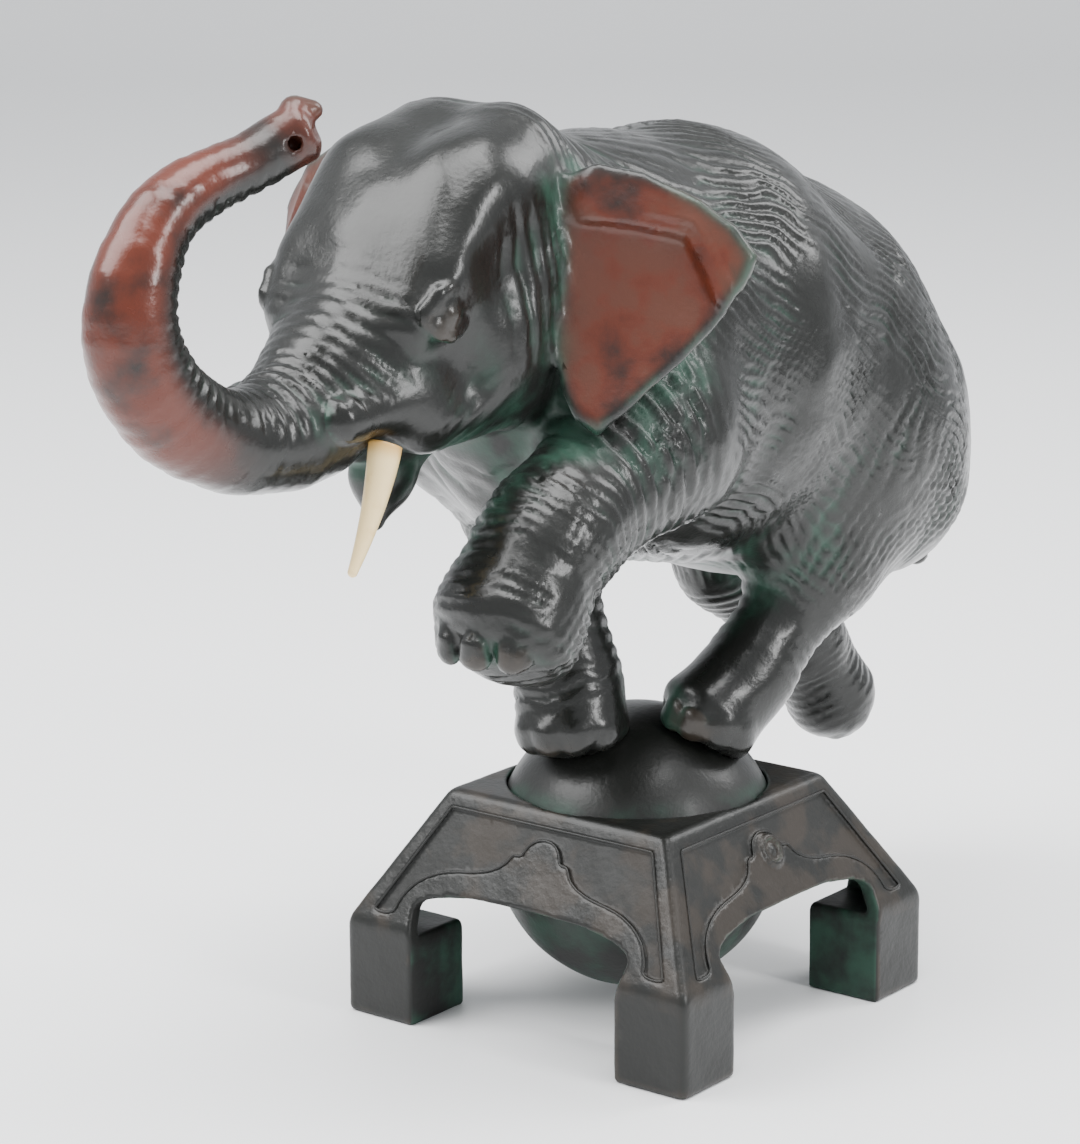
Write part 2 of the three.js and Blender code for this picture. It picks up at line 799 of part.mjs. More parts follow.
function standSolid() {
  const field = new THREE.ExtrudeGeometry(fieldShape(), {
    depth: PANEL_DEPTH + 4,
    bevelEnabled: false,
    curveSegments: 3,
  });
  const arch = archPrism();
  const arches = solid(arch).add(solid(arch.clone().rotateZ(Math.PI / 2)));
  let body = standBlock().subtract(standHollow()).subtract(arches);
  for (let side = 0; side < 4; side++) {
    const sunk = ontoFace(field, PANEL_DEPTH).rotateZ((side * Math.PI) / 2);
    body = body.subtract(solid(sunk));
  }
  body = body.add(bossSolid());
  return body.subtract(solid(sphere(BALL_RADIUS + FIT, 32, 20)));
}

// The oval boss in the lobe of the +X face.
function bossSolid() {
  const g = new THREE.SphereGeometry(1, 16, 8);
  g.scale(BOSS_RADIUS[0], BOSS_RADIUS[1], 1.5).translate(0, 28.5, 0.2);
  return solid(ontoFace(g, 0));
}

// ---------------------------------------------------------------- tusk

function tuskRings(grow, back) {
  const root = vec(TUSK_ROOT);
  const axis = vec(TUSK_TIP).sub(root);
  const length = axis.length();
  axis.normalize();
  const across = new THREE.Vector3(1, 0, 0).addScaledVector(axis, -axis.x).normalize();
  const fore = new THREE.Vector3().crossVectors(axis, across);
  const rings = [];
  const steps = 7;
  for (let i = -1; i <= steps + 2; i++) {
    const past = Math.max(0, i - steps);
    const t = i < 0 ? -back / length : Math.min(1, i / steps);
    const taper = TUSK_ROOT_RADIUS + (TUSK_TIP_RADIUS - TUSK_ROOT_RADIUS) * Math.max(0, t) ** 1.15;
    const r = (taper + grow) * [1, 0.8, 0.35][past];
    const along = t * length + [0, 0.6, 1][past] * TUSK_TIP_RADIUS;
    const sag = TUSK_SAG * 4 * Math.max(0, t) * (1 - Math.max(0, t));
    const middle = root.clone().addScaledVector(axis, along);
    middle.y += sag;
    const ring = [];
    for (let j = 0; j < 12; j++) {
      const a = (-j / 12) * 2 * Math.PI;
      ring.push(
        middle.clone()
          .addScaledVector(across, r * Math.cos(a))
          .addScaledVector(fore, r * Math.sin(a))
          .toArray(),
      );
    }
    rings.push(ring);
  }
  return rings;
}

function tuskSolid(grow, back) {
  const g = loft(tuskRings(grow, back));
  const flipped = g.index.array;
  const made = new THREE.BufferGeometry();
  made.setAttribute("position", g.attributes.position);
  const turned = [];
  for (let i = 0; i < flipped.length; i += 3) {
    turned.push(flipped[i], flipped[i + 2], flipped[i + 1]);
  }
  made.setIndex(turned);
  try {
    return solid(g);
  } catch {
    return solid(made);
  }
}

// ---------------------------------------------------------------- elephant

function addTorso(s) {
  s.limb([0, -26, 196], [0, 12, 192], [44, 56], [54, 60], { k: 10 });
  s.limb([0, 12, 192], [0, 56, 176], [54, 60], [53, 56], { k: 10 });
  s.limb([0, 56, 176], [0, 89, 158], [53, 56], [46, 48], { k: 12 });
  // haunches, shoulders, neck and breast
  s.limb([30, 76, 160], [29, 90, 138], [19, 29], [16, 22], { k: 16, mirror: true });
  s.limb([36, -30, 205], [38, -42, 178], [16, 30], [17, 26], { k: 16, mirror: true });
  s.limb([0, -34, 208], [0, -74, 222], [38, 46], [31, 34], { k: 16 });
  s.limb([0, -38, 178], [0, -56, 190], [28, 30], [24, 22], { k: 16 });
}

function addHead(s) {
  s.limb([0, -70, 234], [0, -88, 224], [33, 32], [32, 36], { k: 12 });
  s.limb([13, -76, 254], [15, -92, 246], [13, 13], [14, 14], { k: 10, mirror: true });
  s.limb([15, -92, 246], [18, -105, 235], [14, 14], [12, 12], { k: 10, mirror: true });
  s.limb([22, -114, 228], [21, -121, 219], [8, 8], [7, 7], { k: 8, mirror: true });
  s.limb([0, -103, 220], [0, -126, 206], [25, 24], [20, 18], { k: 12 });
  s.limb([20, -92, 204], [18, -116, 196], [12, 18], [10, 12], { k: 12, mirror: true });
  s.limb([0, -96, 190], [0, -124, 187], [14, 10], [9, 6], { k: 8 });
  // the hollow of the temple and of the cheek under the brow
  s.limb([42, -96, 238], [40, -101, 231], [8, 9], [8, 9], { k: 10, mirror: true, cut: true });
  s.limb([34, -118, 209], [32, -112, 204], [5, 6], [5, 6], { k: 10, mirror: true, cut: true });
  // sheath of the tusk, hanging over the root as a straight-edged lip
  s.limb([16, -118, 199], [17, -146, 197], [8, 8.5], [5.5, 6], { k: 6, mirror: true });
  // eyeballs under their lids
  s.limb([28, -118, 221], [28, -119, 221], [3.4, 3.4], [3.4, 3.4], { k: 2, mirror: true });
  // pointed lower lip
  s.limb([0, -108, 184], [0, -112, 174], [10, 10], [7.5, 7.5], { k: 5 });
  s.limb([0, -112, 174], [0, -114.5, 163], [7.5, 7.5], [2.2, 2.2], { k: 3 });
}

function addTrunk(s) {
  s.chain(TRUNK, 2, { k: TRUNK_BLEND });
  // flared end with its finger and two nostrils
  s.limb([10.5, -159, 266.4], [13.5, -155.5, 268.6], [6.6, 6.6], [7.4, 7.4, 4], { k: 2 });
  s.limb([11.5, -155, 274.5], [14.5, -152.5, 274], [4, 3], [2.5, 2.2], { k: 2 });
  s.limb([18.5, -155.4, 269.6], [17, -152, 270], [2, 2], [2, 2], { k: 1, cut: true });
  s.limb([13.5, -159, 266], [16, -161, 267], [2, 2], [2, 2], { k: 1, cut: true });
}

function addForelegs(s) {
  // left, lifted and folded
  s.limb([41, -44, 180], [39, -90, 161], [17, 22], [16.5, 17], { k: 12 });
  s.limb([39, -90, 160], [38, -97, 154], [16.5, 16.5], [16, 16], { k: 8 });
  s.limb([38, -97, 154], [38, -104, 144], [15.5, 15.5], [17, 17], { k: 8 });
  s.limb([38, -104, 143], [38, -108, 139], [19, 19, 12], [19.5, 19.5, 12], { k: 6 });
  // right, standing on the ball
  s.limb([-34, -30, 180], [-21, -21, 142], [18, 24], [15.5, 17], { k: 12 });
  s.limb([-21, -21, 142], [-8.5, -21, 100], [15.5, 16], [13.5, 13.5], { k: 8 });
  s.limb([-8.5, -21, 98], [-5, -24, 86], [13.5, 14], [16, 16, 9], { k: 8 });
}

function addHindLegs(s) {
  // left, standing on the ball
  s.limb([36, 66, 156], [32, 46, 128], [19, 34], [15, 22], { k: 14 });
  s.limb([32, 46, 128], [25, 20, 98], [14, 16], [11, 11.5], { k: 8 });
  s.limb([25, 20, 98], [21, 6, 87], [11.5, 12], [14.5, 15, 9], { k: 8 });
  // right, kicked out behind
  s.limb([-34, 82, 150], [-30, 90, 114], [17, 28], [15, 20], { k: 16 });
  s.limb([-30, 90, 112], [-24, 120, 80], [15, 18], [12, 12], { k: 8 });
  s.limb([-24, 120, 80], [-22, 134, 59], [12, 12], [14.5, 14.5], { k: 8 });
}

function addTail(s) {
  s.limb([0, 128, 180], [8, 140, 150], [5, 4], [5, 4], { k: 8 });
  s.limb([8, 140, 150], [16, 124, 112], [4.4, 3.6], [3.4, 3.4], { k: 3 });
}

// A row of toenails round the front of a foot: middle of the foot, the way it faces, its radius.
function addToenails(s, middle, forward, up, radius, count, drop) {
  const f = vec(forward).normalize();
  const u = vec(up).normalize();
  const side = new THREE.Vector3().crossVectors(u, f).normalize();
  for (let i = 0; i < count; i++) {
    const a = (i - (count - 1) / 2) * 0.62;
    const spot = vec(middle)
      .addScaledVector(f, radius * Math.cos(a))
      .addScaledVector(side, radius * Math.sin(a))
      .addScaledVector(u, -drop);
    const out = spot.clone().addScaledVector(u, 2.5);
    s.limb(spot.toArray(), out.toArray(), [4, 2.6], [3.4, 2], { k: 4, side: side.toArray() });
  }
}

function addFeet(s) {
  addToenails(s, [38, -107, 138], [0.1, -1, 0], [0, -0.25, 1], 17.2, 5, 3);
  addToenails(s, [-5, -24, 86], [0.1, -1, 0], [-0.1, -0.4, 1], 13.8, 5, 2);
  addToenails(s, [21, 6, 87], [0.5, -0.8, 0], [0.4, 0, 1], 12.4, 4, 2);
  addToenails(s, [-22, 134, 57], [0, 0.3, -1], [0, -1, -0.2], 11.4, 4, 0);
}

function earSolid(sign) {
  const reach = [24, 86].map((x) => x * sign).sort((a, b) => a - b);
  const s = new Sculpt([reach[0], -104, 178], [reach[1], -44, 262], EAR_STEP);
  s.ear(sign);
  return solid(new Thinner(surfaceOf(s)).run(EAR_TRIANGLES));
}

function elephantSolid() {
  const s = new Sculpt([-90, -226, 38], [90, 160, 284], FIELD_STEP);
  addTorso(s);
  addHead(s);
  addTrunk(s);
  addForelegs(s);
  addHindLegs(s);
  addTail(s);
  addFeet(s);
  return solid(new Thinner(surfaceOf(s)).run(BODY_TRIANGLES))
    .add(earSolid(1))
    .add(earSolid(-1))
    .subtract(solid(sphere(BALL_RADIUS + FIT, 32, 20)))
    .subtract(tuskSolid(FIT, FIT));
}

// ---------------------------------------------------------------- the object

const group = new THREE.Group();
group.name = "bronze_elephant";
group.add(meshOf("stand", standSolid(), { ...BRONZE, roughness: 0.5 }));
group.add(meshOf("ball", solid(sphere(BALL_RADIUS, 32, 20)), { ...BRONZE, roughness: 0.45 }));
group.add(meshOf("elephant", elephantSolid(), BRONZE));
group.add(meshOf("tusk_left", tuskSolid(0, 0), IVORY));
const extent = new THREE.Box3().setFromObject(group);
group.position.set(
  -(extent.min.x + extent.max.x) / 2,
  -(extent.min.y + extent.max.y) / 2,
  -extent.min.z,
);

export default group;
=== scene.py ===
"""The looks of a bronze elephant that balances on a ball held in a pierced square stand.

The animal and the stand are modelled as fields of signed distances in millimetres, with the
middle of the stand as their origin, then meshed, carved with skin folds and moved into the
frame, which is in metres. The elephant heads along -Y and its left side is +X.
"""

from __future__ import annotations

import logging
import math
from collections.abc import Callable, Sequence
from dataclasses import dataclass, field
from enum import Enum

import bpy
import numpy as np
from mathutils import Matrix, Vector

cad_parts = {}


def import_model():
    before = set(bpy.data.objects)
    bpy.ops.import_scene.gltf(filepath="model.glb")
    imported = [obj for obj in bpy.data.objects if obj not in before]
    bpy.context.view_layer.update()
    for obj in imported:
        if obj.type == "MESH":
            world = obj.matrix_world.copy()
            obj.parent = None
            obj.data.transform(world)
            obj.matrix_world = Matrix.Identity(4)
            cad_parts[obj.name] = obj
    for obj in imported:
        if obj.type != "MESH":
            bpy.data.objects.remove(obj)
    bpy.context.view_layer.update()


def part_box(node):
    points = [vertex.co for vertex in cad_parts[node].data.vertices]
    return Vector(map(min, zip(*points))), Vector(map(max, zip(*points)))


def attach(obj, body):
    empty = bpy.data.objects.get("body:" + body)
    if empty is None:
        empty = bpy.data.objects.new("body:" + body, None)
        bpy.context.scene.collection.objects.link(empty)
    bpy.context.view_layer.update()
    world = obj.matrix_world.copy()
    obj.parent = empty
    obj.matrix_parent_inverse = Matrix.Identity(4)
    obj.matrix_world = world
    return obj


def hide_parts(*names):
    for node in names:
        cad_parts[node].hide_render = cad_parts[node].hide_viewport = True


log = logging.getLogger("bronze_elephant")
Array = np.ndarray
Point = tuple[float, float, float]
MM = 0.001
TINY = 1e-9  # keeps a division by a length from failing
FAR = 50.0  # a distance, in millimetres, that counts as well outside
MARGIN = 4.0  # room left round a limb when it is melted in
LAST_CELL = 1.001  # keeps a place inside the last cell of a grid


class Slot(Enum):
    """The material slots of the record."""

    ELEPHANT = "elephant_bronze"
    BALL = "ball_bronze"
    STAND = "stand_bronze"
    TUSK = "tusk"


def smooth(value: Array, low: float, high: float) -> Array:
    """Ease from 0 at low to 1 at high, or the other way round where high is below low."""
    t = np.clip((value - low) / (high - low), 0.0, 1.0)
    return t * t * (3.0 - 2.0 * t)


def melt(a: Array, b: Array, k: float) -> Array:
    """Join two distances, melting them together over a length k."""
    h = np.maximum(k - np.abs(a - b), 0.0) / k
    return np.minimum(a, b) - h * h * k * 0.25


def line_distance(u: Array, v: Array, points: Sequence[tuple[float, float]]) -> Array:
    """Measure the distance in the plane to an open line through the points.

    Args:
        u: First coordinates of the places.
        v: Second coordinates.
        points: The line's corners.

    Returns:
        The distances.
    """
    nearest = np.full(u.shape, np.inf, u.dtype)
    for (au, av), (bu, bv) in zip(points[:-1], points[1:]):
        eu, ev = bu - au, bv - av
        t = np.clip(((u - au) * eu + (v - av) * ev) / (eu * eu + ev * ev), 0.0, 1.0)
        nearest = np.minimum(nearest, (u - au - eu * t) ** 2 + (v - av - ev * t) ** 2)
    return np.sqrt(nearest)


def outline_distance(u: Array, v: Array, points: Sequence[tuple[float, float]]) -> Array:
    """Measure the distance in the plane to a closed outline, negative inside it.

    Args:
        u: First coordinates of the places.
        v: Second coordinates.
        points: The outline's corners.

    Returns:
        The distances.
    """
    closed = [*points, points[0]]
    inside = np.zeros(u.shape, bool)
    for (au, av), (bu, bv) in zip(closed[:-1], closed[1:]):
        if bv != av:
            inside ^= ((av > v) != (bv > v)) & (u < au + (v - av) * (bu - au) / (bv - av))
    distance = line_distance(u, v, closed)
    return np.where(inside, -distance, distance)


def gradient(distance: Callable[[Array], Array], points: Array, step: float) -> Array:
    """Return the unit direction in which a distance grows at each point."""
    rise = np.stack([distance(points + e) - distance(points - e) for e in np.eye(3) * step], 1)
    return rise / (np.linalg.norm(rise, axis=1, keepdims=True) + TINY)


class Lattice:
    """Values on a regular grid, read smoothly between its points."""

    @staticmethod
    def read(values: Array, base: Array, share: Array, wrap: bool) -> Array:
        """Blend the eight values round each place.

        Args:
            values: The grid's values.
            base: Whole-number cell of each place.
            share: How far along its cell each place lies.
            wrap: Whether the grid repeats.

        Returns:
            The blended values.
        """
        total = np.zeros(len(base))
        for corner in np.ndindex(2, 2, 2):
            weight = np.prod(np.where(corner, share, 1.0 - share), axis=1)
            at = base + corner
            if wrap:
                at %= values.shape[0]
            total += weight * values[at[:, 0], at[:, 1], at[:, 2]]
        return total


class Noise:
    """Smooth noise in space, the same on every run."""

    CELLS = 32

    def __init__(self, seed: int) -> None:
        """Fill the lattice from the seed."""
        self.values = np.random.default_rng(seed).uniform(-1.0, 1.0, (self.CELLS,) * 3)

    def at(self, points: Array, length: float) -> Array:
        """Return values from about -1 to 1, with features of that length.

        Args:
            points: Places, one row each.
            length: Size of the features.

        Returns:
            The noise at each place.
        """
        q = points / length
        base = np.floor(q).astype(int)
        t = q - base
        return Lattice.read(self.values, base, t * t * (3.0 - 2.0 * t), True)


@dataclass(frozen=True)
class Limb:
    """A tapered limb with oval sections and rounded ends.

    Attributes:
        a: One end.
        b: The other end.
        ra: Radii at a: across, the other way, and optionally along for the rounded end.
        rb: Radii at b.
        k: Length over which it melts into what is there.
        side: Direction in which "across" is measured.
        mirror: Whether there is another on the animal's other side.
        cut: Whether it is taken away instead.
    """

    a: Point
    b: Point
    ra: tuple[float, ...]
    rb: tuple[float, ...]
    k: float = 8.0
    side: Point = (1.0, 0.0, 0.0)
    mirror: bool = False
    cut: bool = False

    def copies(self) -> list[list[Array]]:
        """Return the two ends and the side direction of each copy."""
        signs = (1, -1) if self.mirror else (1,)
        line = (self.a, self.b, self.side)
        return [[np.array(p, float) * (s, 1, 1) for p in line] for s in signs]


@dataclass
class Mesh:
    """A triangle mesh in millimetres with its values at each vertex."""

    points: Array
    faces: Array
    values: dict[str, Array] = field(default_factory=dict)


class Field:
    """Signed distances on a regular grid."""

    def __init__(self, low: Point, high: Point, step: float) -> None:
        """Make an empty grid between two corners, in millimetres."""
        self.low = np.array(low, float)
        self.step = step
        self.size = np.ceil((np.array(high) - self.low) / step).astype(int) + 1
        self.values = np.full(self.size, FAR, np.float32)

    def window(self, low: Array, high: Array) -> tuple[tuple[slice, ...], list[Array]]:
        """Return the part of the grid inside a box and its coordinates.

        Args:
            low: Lowest corner of the box.
            high: Highest corner.

        Returns:
            Slices of the grid and the sparse coordinates of its points.
        """
        start = np.maximum(np.floor((low - self.low) / self.step).astype(int), 0)
        stop = np.minimum(np.ceil((high - self.low) / self.step).astype(int) + 1, self.size)
        part = tuple(slice(int(a), int(max(a, b))) for a, b in zip(start, stop))
        axes = [
            (self.low[i] + self.step * np.arange(part[i].start, part[i].stop)).astype(np.float32)
            for i in range(3)
        ]
        return part, np.meshgrid(*axes, indexing="ij", sparse=True)

    def add(self, limb: Limb) -> None:
        """Melt a limb and its mirror image into the field, or cut them out of it.

        Args:
            limb: The limb.
        """
        for a, b, side in limb.copies():
            reach = max(*limb.ra, *limb.rb) + limb.k + MARGIN
            part, grid = self.window(np.minimum(a, b) - reach, np.maximum(a, b) + reach)
            distance = self.limb_distance(grid, a, b, side, limb)
            old = self.values[part]
            self.values[part] = (
                -melt(-old, distance, limb.k) if limb.cut else melt(old, distance, limb.k)
            )

    @staticmethod
    def limb_distance(grid: list[Array], a: Array, b: Array, side: Array, limb: Limb) -> Array:
        """Measure the distance from the grid's points to one limb.

        Args:
            grid: Sparse coordinates of the points.
            a: One end of this copy of the limb.
            b: The other end.
            side: Direction in which its first radius is measured.
            limb: The limb, for its radii.

        Returns:
            The distances, negative inside.
        """
        offset = [g - np.float32(a[i]) for i, g in enumerate(grid)]
        length = float(np.linalg.norm(b - a))
        along = (b - a) / length
        across = side - along * (side @ along)
        across /= np.linalg.norm(across)
        other = np.cross(along, across)
        pa, ps, pn = (
            sum(offset[i] * np.float32(axis[i]) for i in range(3))
            for axis in (along, across, other)
        )
        t = np.clip(pa / length, 0.0, 1.0)
        ra, rb = (r if len(r) > 2 else (*r, (r[0] + r[1]) / 2) for r in (limb.ra, limb.rb))
        rs, rn, rw = (ra[i] + (rb[i] - ra[i]) * t for i in range(3))
        qs, qn, qw = ps / rs, pn / rn, (pa - t * length) / rw
        k0 = np.sqrt(qs * qs + qn * qn + qw * qw)
        k1 = np.sqrt((qs / rs) ** 2 + (qn / rn) ** 2 + (qw / rw) ** 2) + TINY
        return k0 * (k0 - 1.0) / k1

    def sample(self, points: Array) -> Array:
        """Read the field between its grid points."""
        q = np.clip((points - self.low) / self.step, 0, self.size - LAST_CELL)
        base = q.astype(int)
        return Lattice.read(self.values, base, q - base, False)

    def normals(self, points: Array) -> Array:
        """Return the outward direction at each point."""
        return gradient(self.sample, points, self.step * 0.7)

    def surface(self) -> Mesh:
        """Mesh the place where the field is zero, one vertex to each cell that it crosses.

        Returns:
            The surface, facing outward.
        """
        values, n = self.values, self.size
        inside = values < 0
        count = np.zeros(n - 1, np.int8)
        for c in np.ndindex(2, 2, 2):
            count += inside[tuple(slice(c[i], n[i] - 1 + c[i]) for i in range(3))]
        crossed = (count > 0) & (count < 8)
        cells = np.argwhere(crossed)
        number = np.full(crossed.shape, -1)
        number[crossed] = np.arange(len(cells))
        total, hits = np.zeros((len(cells), 3)), np.zeros(len(cells))
        for start in np.ndindex(2, 2, 2):
            for axis in range(3):
                if start[axis]:
                    continue
                end = np.array(start)
                end[axis] = 1
                fa, fb = (values[tuple((cells + c).T)] for c in (start, end))
                cut = (fa < 0) != (fb < 0)
                place = np.tile(np.array(start, float), (len(cells), 1))
                place[:, axis] += np.where(cut, fa / np.where(cut, fa - fb, 1.0), 0.0)
                total[cut] += place[cut]
                hits[cut] += 1
        points = self.low + self.step * (cells + total / hits[:, None])
        quads = np.concatenate([self.quads(inside, number, axis) for axis in range(3)])
        return Mesh(points, np.concatenate([quads[:, [0, 1, 2]], quads[:, [0, 2, 3]]]))

    def quads(self, inside: Array, number: Array, axis: int) -> Array:
        """Return the faces round the grid edges along an axis that leave or enter the solid.

        Args:
            inside: Whether each grid point is in the solid.
            number: The vertex of each cell.
            axis: The axis, from 0 to 2.

        Returns:
            Four vertices for each face, turned to face outward.
        """
        first, second = [slice(None)] * 3, [slice(None)] * 3
        first[axis], second[axis] = slice(0, -1), slice(1, None)
        before, after = inside[tuple(first)], inside[tuple(second)]
        edges = np.argwhere(before != after)
        u, v = (axis + 1) % 3, (axis + 2) % 3
        keep = (edges[:, [u, v]] > 0).all(1) & (edges[:, [u, v]] < self.size[[u, v]] - 1).all(1)
        edges = edges[keep]
        leaves = before[tuple(edges.T)]
        corners = []
        for du, dv in ((1, 1), (0, 1), (0, 0), (1, 0)):
            at = edges.copy()
            at[:, u] -= du
            at[:, v] -= dv
            corners.append(number[tuple(at.T)])
        quads = np.stack(corners, 1)
        quads[~leaves] = quads[~leaves][:, ::-1]
        return quads


@dataclass(frozen=True)
class Placement:
    """Where the middle of the stand lies in the frame, in metres."""

    centre: Vector

    @classmethod
    def of_stand(cls) -> Placement:
        """Read the place from the stand's own box."""
        low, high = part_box("stand")
        return cls(Vector(((low.x + high.x) / 2, (low.y + high.y) / 2, low.z)))

    def world(self, points: Array) -> Array:
        """Turn millimetres from the middle of the stand into the frame's metres."""
        return np.asarray(points, float) * MM + np.array(self.centre)


def bake(obj: bpy.types.Object) -> None:
    """Make the evaluated object a plain mesh and take its modifiers off.

    Args:
        obj: The object, changed in place.
    """
    graph = bpy.context.evaluated_depsgraph_get()
    made = bpy.data.meshes.new_from_object(obj.evaluated_get(graph))
    obj.modifiers.clear()
    old, obj.data = obj.data, made
    bpy.data.meshes.remove(old)


def link(obj: bpy.types.Object) -> bpy.types.Object:
    """Put an object in the scene and return it."""
    bpy.context.scene.collection.objects.link(obj)
    return obj


def smooth_faces(obj: bpy.types.Object) -> None:
    """Shade the object smoothly."""
    obj.data.polygons.foreach_set("use_smooth", np.ones(len(obj.data.polygons), bool))


def add_value(data: bpy.types.Mesh, name: str, values: Array) -> None:
    """Store a value at each vertex of a mesh."""
    layer = data.attributes.new(name, "FLOAT", "POINT")
    layer.data.foreach_set("value", values.astype(np.float32))


def object_from(name: str, mesh: Mesh, place: Placement, most: int) -> bpy.types.Object:
    """Turn a mesh into a smooth object at the origin of the frame.

    Args:
        name: Name of the object.
        mesh: Its points, faces and values.
        place: Where the middle of the stand is.
        most: Greatest number of triangles; the flattest parts are thinned down to it.

    Returns:
        The object, linked to the scene.
    """
    data = bpy.data.meshes.new(name)
    data.vertices.add(len(mesh.points))
    data.vertices.foreach_set("co", place.world(mesh.points).astype(np.float32).ravel())
    data.loops.add(mesh.faces.size)
    data.loops.foreach_set("vertex_index", mesh.faces.astype(np.int32).ravel())
    data.polygons.add(len(mesh.faces))
    data.polygons.foreach_set("loop_start", np.arange(len(mesh.faces), dtype=np.int32) * 3)
    for key, values in mesh.values.items():
        add_value(data, key, values)
    data.update(calc_edges=True)
    data.validate()
    obj = link(bpy.data.objects.new(name, data))
    if len(mesh.faces) > most:
        obj.modifiers.new("thin", "DECIMATE").ratio = most / len(mesh.faces)
        bake(obj)
    smooth_faces(obj)
    return obj


@dataclass(frozen=True)
class Ear:
    """A dished ear that stands free of the neck.

    Attributes:
        root: Where the ear's own u (outward) and v (upward) are zero.
        normal: Direction that the dished face looks in.
        rim: Its outline.
        fold: Outline of the raised upper band.
        ridge: The line of the fold.
        thickness: Thickness of the sheet.
        dish: How deep the face is hollowed.
        lift: How far the upper band stands out.
        curl: How strongly the ear bends back towards its outer edge.
        crease: Height of the edge of the band.
        rib: Height of the small rib above that edge.
        ripple: Height of the ripples near the rim.
        lip: How much thicker the rim is.
        blend: Length over which the rim is rounded and the root melts into the neck.
        slack: Evens out a distance that the bend makes too steep.
    """

    root: Point = (31, -77, 232)
    normal: Point = (0.328, -0.918, 0.222)
    rim: tuple[tuple[float, float], ...] = (
        (-6, -2), (-5, 14), (0, 19), (10, 22.5), (23, 20.5), (37, 14.5), (46, 8), (51.6, 1),
        (49, -7), (44.7, -14), (37, -23), (24.5, -36), (13.8, -46.7), (8, -43), (4, -36),
        (0.2, -25.6), (-2, -15),
    )
    fold: tuple[tuple[float, float], ...] = (
        (-6, 9), (4, 8.2), (20, 7.4), (34, 5), (38, -2), (44.5, -13),
        (60, -30), (60, 40), (-20, 40), (-20, 9),
    )
    ridge: tuple[tuple[float, float], ...] = (
        (-2, 9), (4, 8.2), (20, 7.4), (34, 5), (38, -2), (43, -11),
    )
    thickness: float = 3.8
    dish: float = 4.0
    lift: float = 2.2
    curl: float = 0.0035
    crease: float = 0.8
    rib: float = 0.6
    ripple: float = 0.2
    lip: float = 0.8
    blend: float = 3.0
    slack: float = 0.85

    def axes(self, sign: int) -> tuple[Array, Array, Array, Array]:
        """Return the root and the directions u, v and outward of one side's ear.

        Args:
            sign: 1 for the left ear, -1 for the right one.

        Returns:
            The root and the three directions.
        """
        root = np.array(self.root, float) * (sign, 1, 1)
        n = np.array(self.normal, float) * (sign, 1, 1)
        n /= np.linalg.norm(n)
        u = np.array((-n[1] * sign, n[0] * sign, 0.0))
        u /= np.linalg.norm(u)
        v = np.cross(n, u)
        return root, u, (v if v[2] > 0 else -v), n

    def local(self, sign: int, grid: Sequence[Array]) -> tuple[Array, Array, Array]:
        """Return the ear's own u, v and outward coordinates of points.

        Args:
            sign: 1 for the left ear, -1 for the right one.
            grid: The points' x, y and z.

        Returns:
            The three coordinates.
        """
        root, *axes = self.axes(sign)
        offset = [g - root[i] for i, g in enumerate(grid)]
        u, v, n = (sum(offset[i] * a[i] for i in range(3)) for a in axes)
        return u, v, n

    def distance(self, sign: int, grid: Sequence[Array]) -> Array:
        """Measure the distance to one side's ear.

        Args:
            sign: 1 for the left ear, -1 for the right one.
            grid: The points' x, y and z.

        Returns:
            The distances, negative inside.
        """
        u, v, n = self.local(sign, grid)
        rim = outline_distance(u, v, self.rim)
        band = smooth(-outline_distance(u, v, self.fold), -1.5, 1.5)
        outward = np.clip((u + 2) / 10, 0, 1)
        hollow = np.maximum(0, 1 - ((u - 19) / 24) ** 2 - ((v + 12) / 30) ** 2)
        ridge = line_distance(u, v, self.ridge)
        bend = -self.dish * hollow + self.lift * band * outward - self.curl * (u - 10) ** 2
        bend = bend + self.crease * np.exp(-((ridge / 1.2) ** 2)) * outward
        beyond = band * np.clip((u - 18) / 10, 0, 1)
        bend = bend + self.rib * np.exp(-((ridge - 4.2) ** 2)) * beyond
        near_rim = np.clip(1 + rim / 9, 0, 1)
        bend = bend + self.ripple * np.sin(u * 0.5 + v * 0.15) * near_rim
        lip = np.clip(1 + rim / 2.6, 0, 1) ** 2 * self.lip
        sheet = np.abs(n - bend) - self.thickness / 2 - lip
        return -melt(-sheet, -rim, self.blend) * self.slack

    def carve(self, solid: Field) -> None:
        """Melt both ears into the field.

        Args:
            solid: The animal's field.
        """
        for sign in (1, -1):
            root, u, v, n = self.axes(sign)
            spans = [(a, b, c) for a in (-10, 56) for b in (-52, 27) for c in (-14, 14)]
            corners = np.array([root + a * u + b * v + c * n for a, b, c in spans])
            part, grid = solid.window(corners.min(0), corners.max(0))
            ear = self.distance(sign, grid)
            solid.values[part] = melt(solid.values[part], ear, self.blend)

    def masks(self, points: Array, normal: Array) -> tuple[Array, Array]:
        """Return how far each point is on an ear, and on the dished face of one.

        Args:
            points: Places on the surface.
            normal: Outward directions there.

        Returns:
            Two masks from 0 to 1.
        """
        on, face = np.zeros(len(points)), np.zeros(len(points))
        for sign in (1, -1):
            _, _, _, out = self.axes(sign)
            grid = list(points.T)
            u, v, _ = self.local(sign, grid)
            near = smooth(self.distance(sign, grid), 2.0, 0.5) * smooth(u, 0, 8)
            rim = outline_distance(u, v, self.rim)
            looks = smooth(normal @ out, 0.15, 0.5) * smooth(-rim, 0.8, 3.5)
            on, face = np.maximum(on, near), np.maximum(face, near * looks)
        return on, face


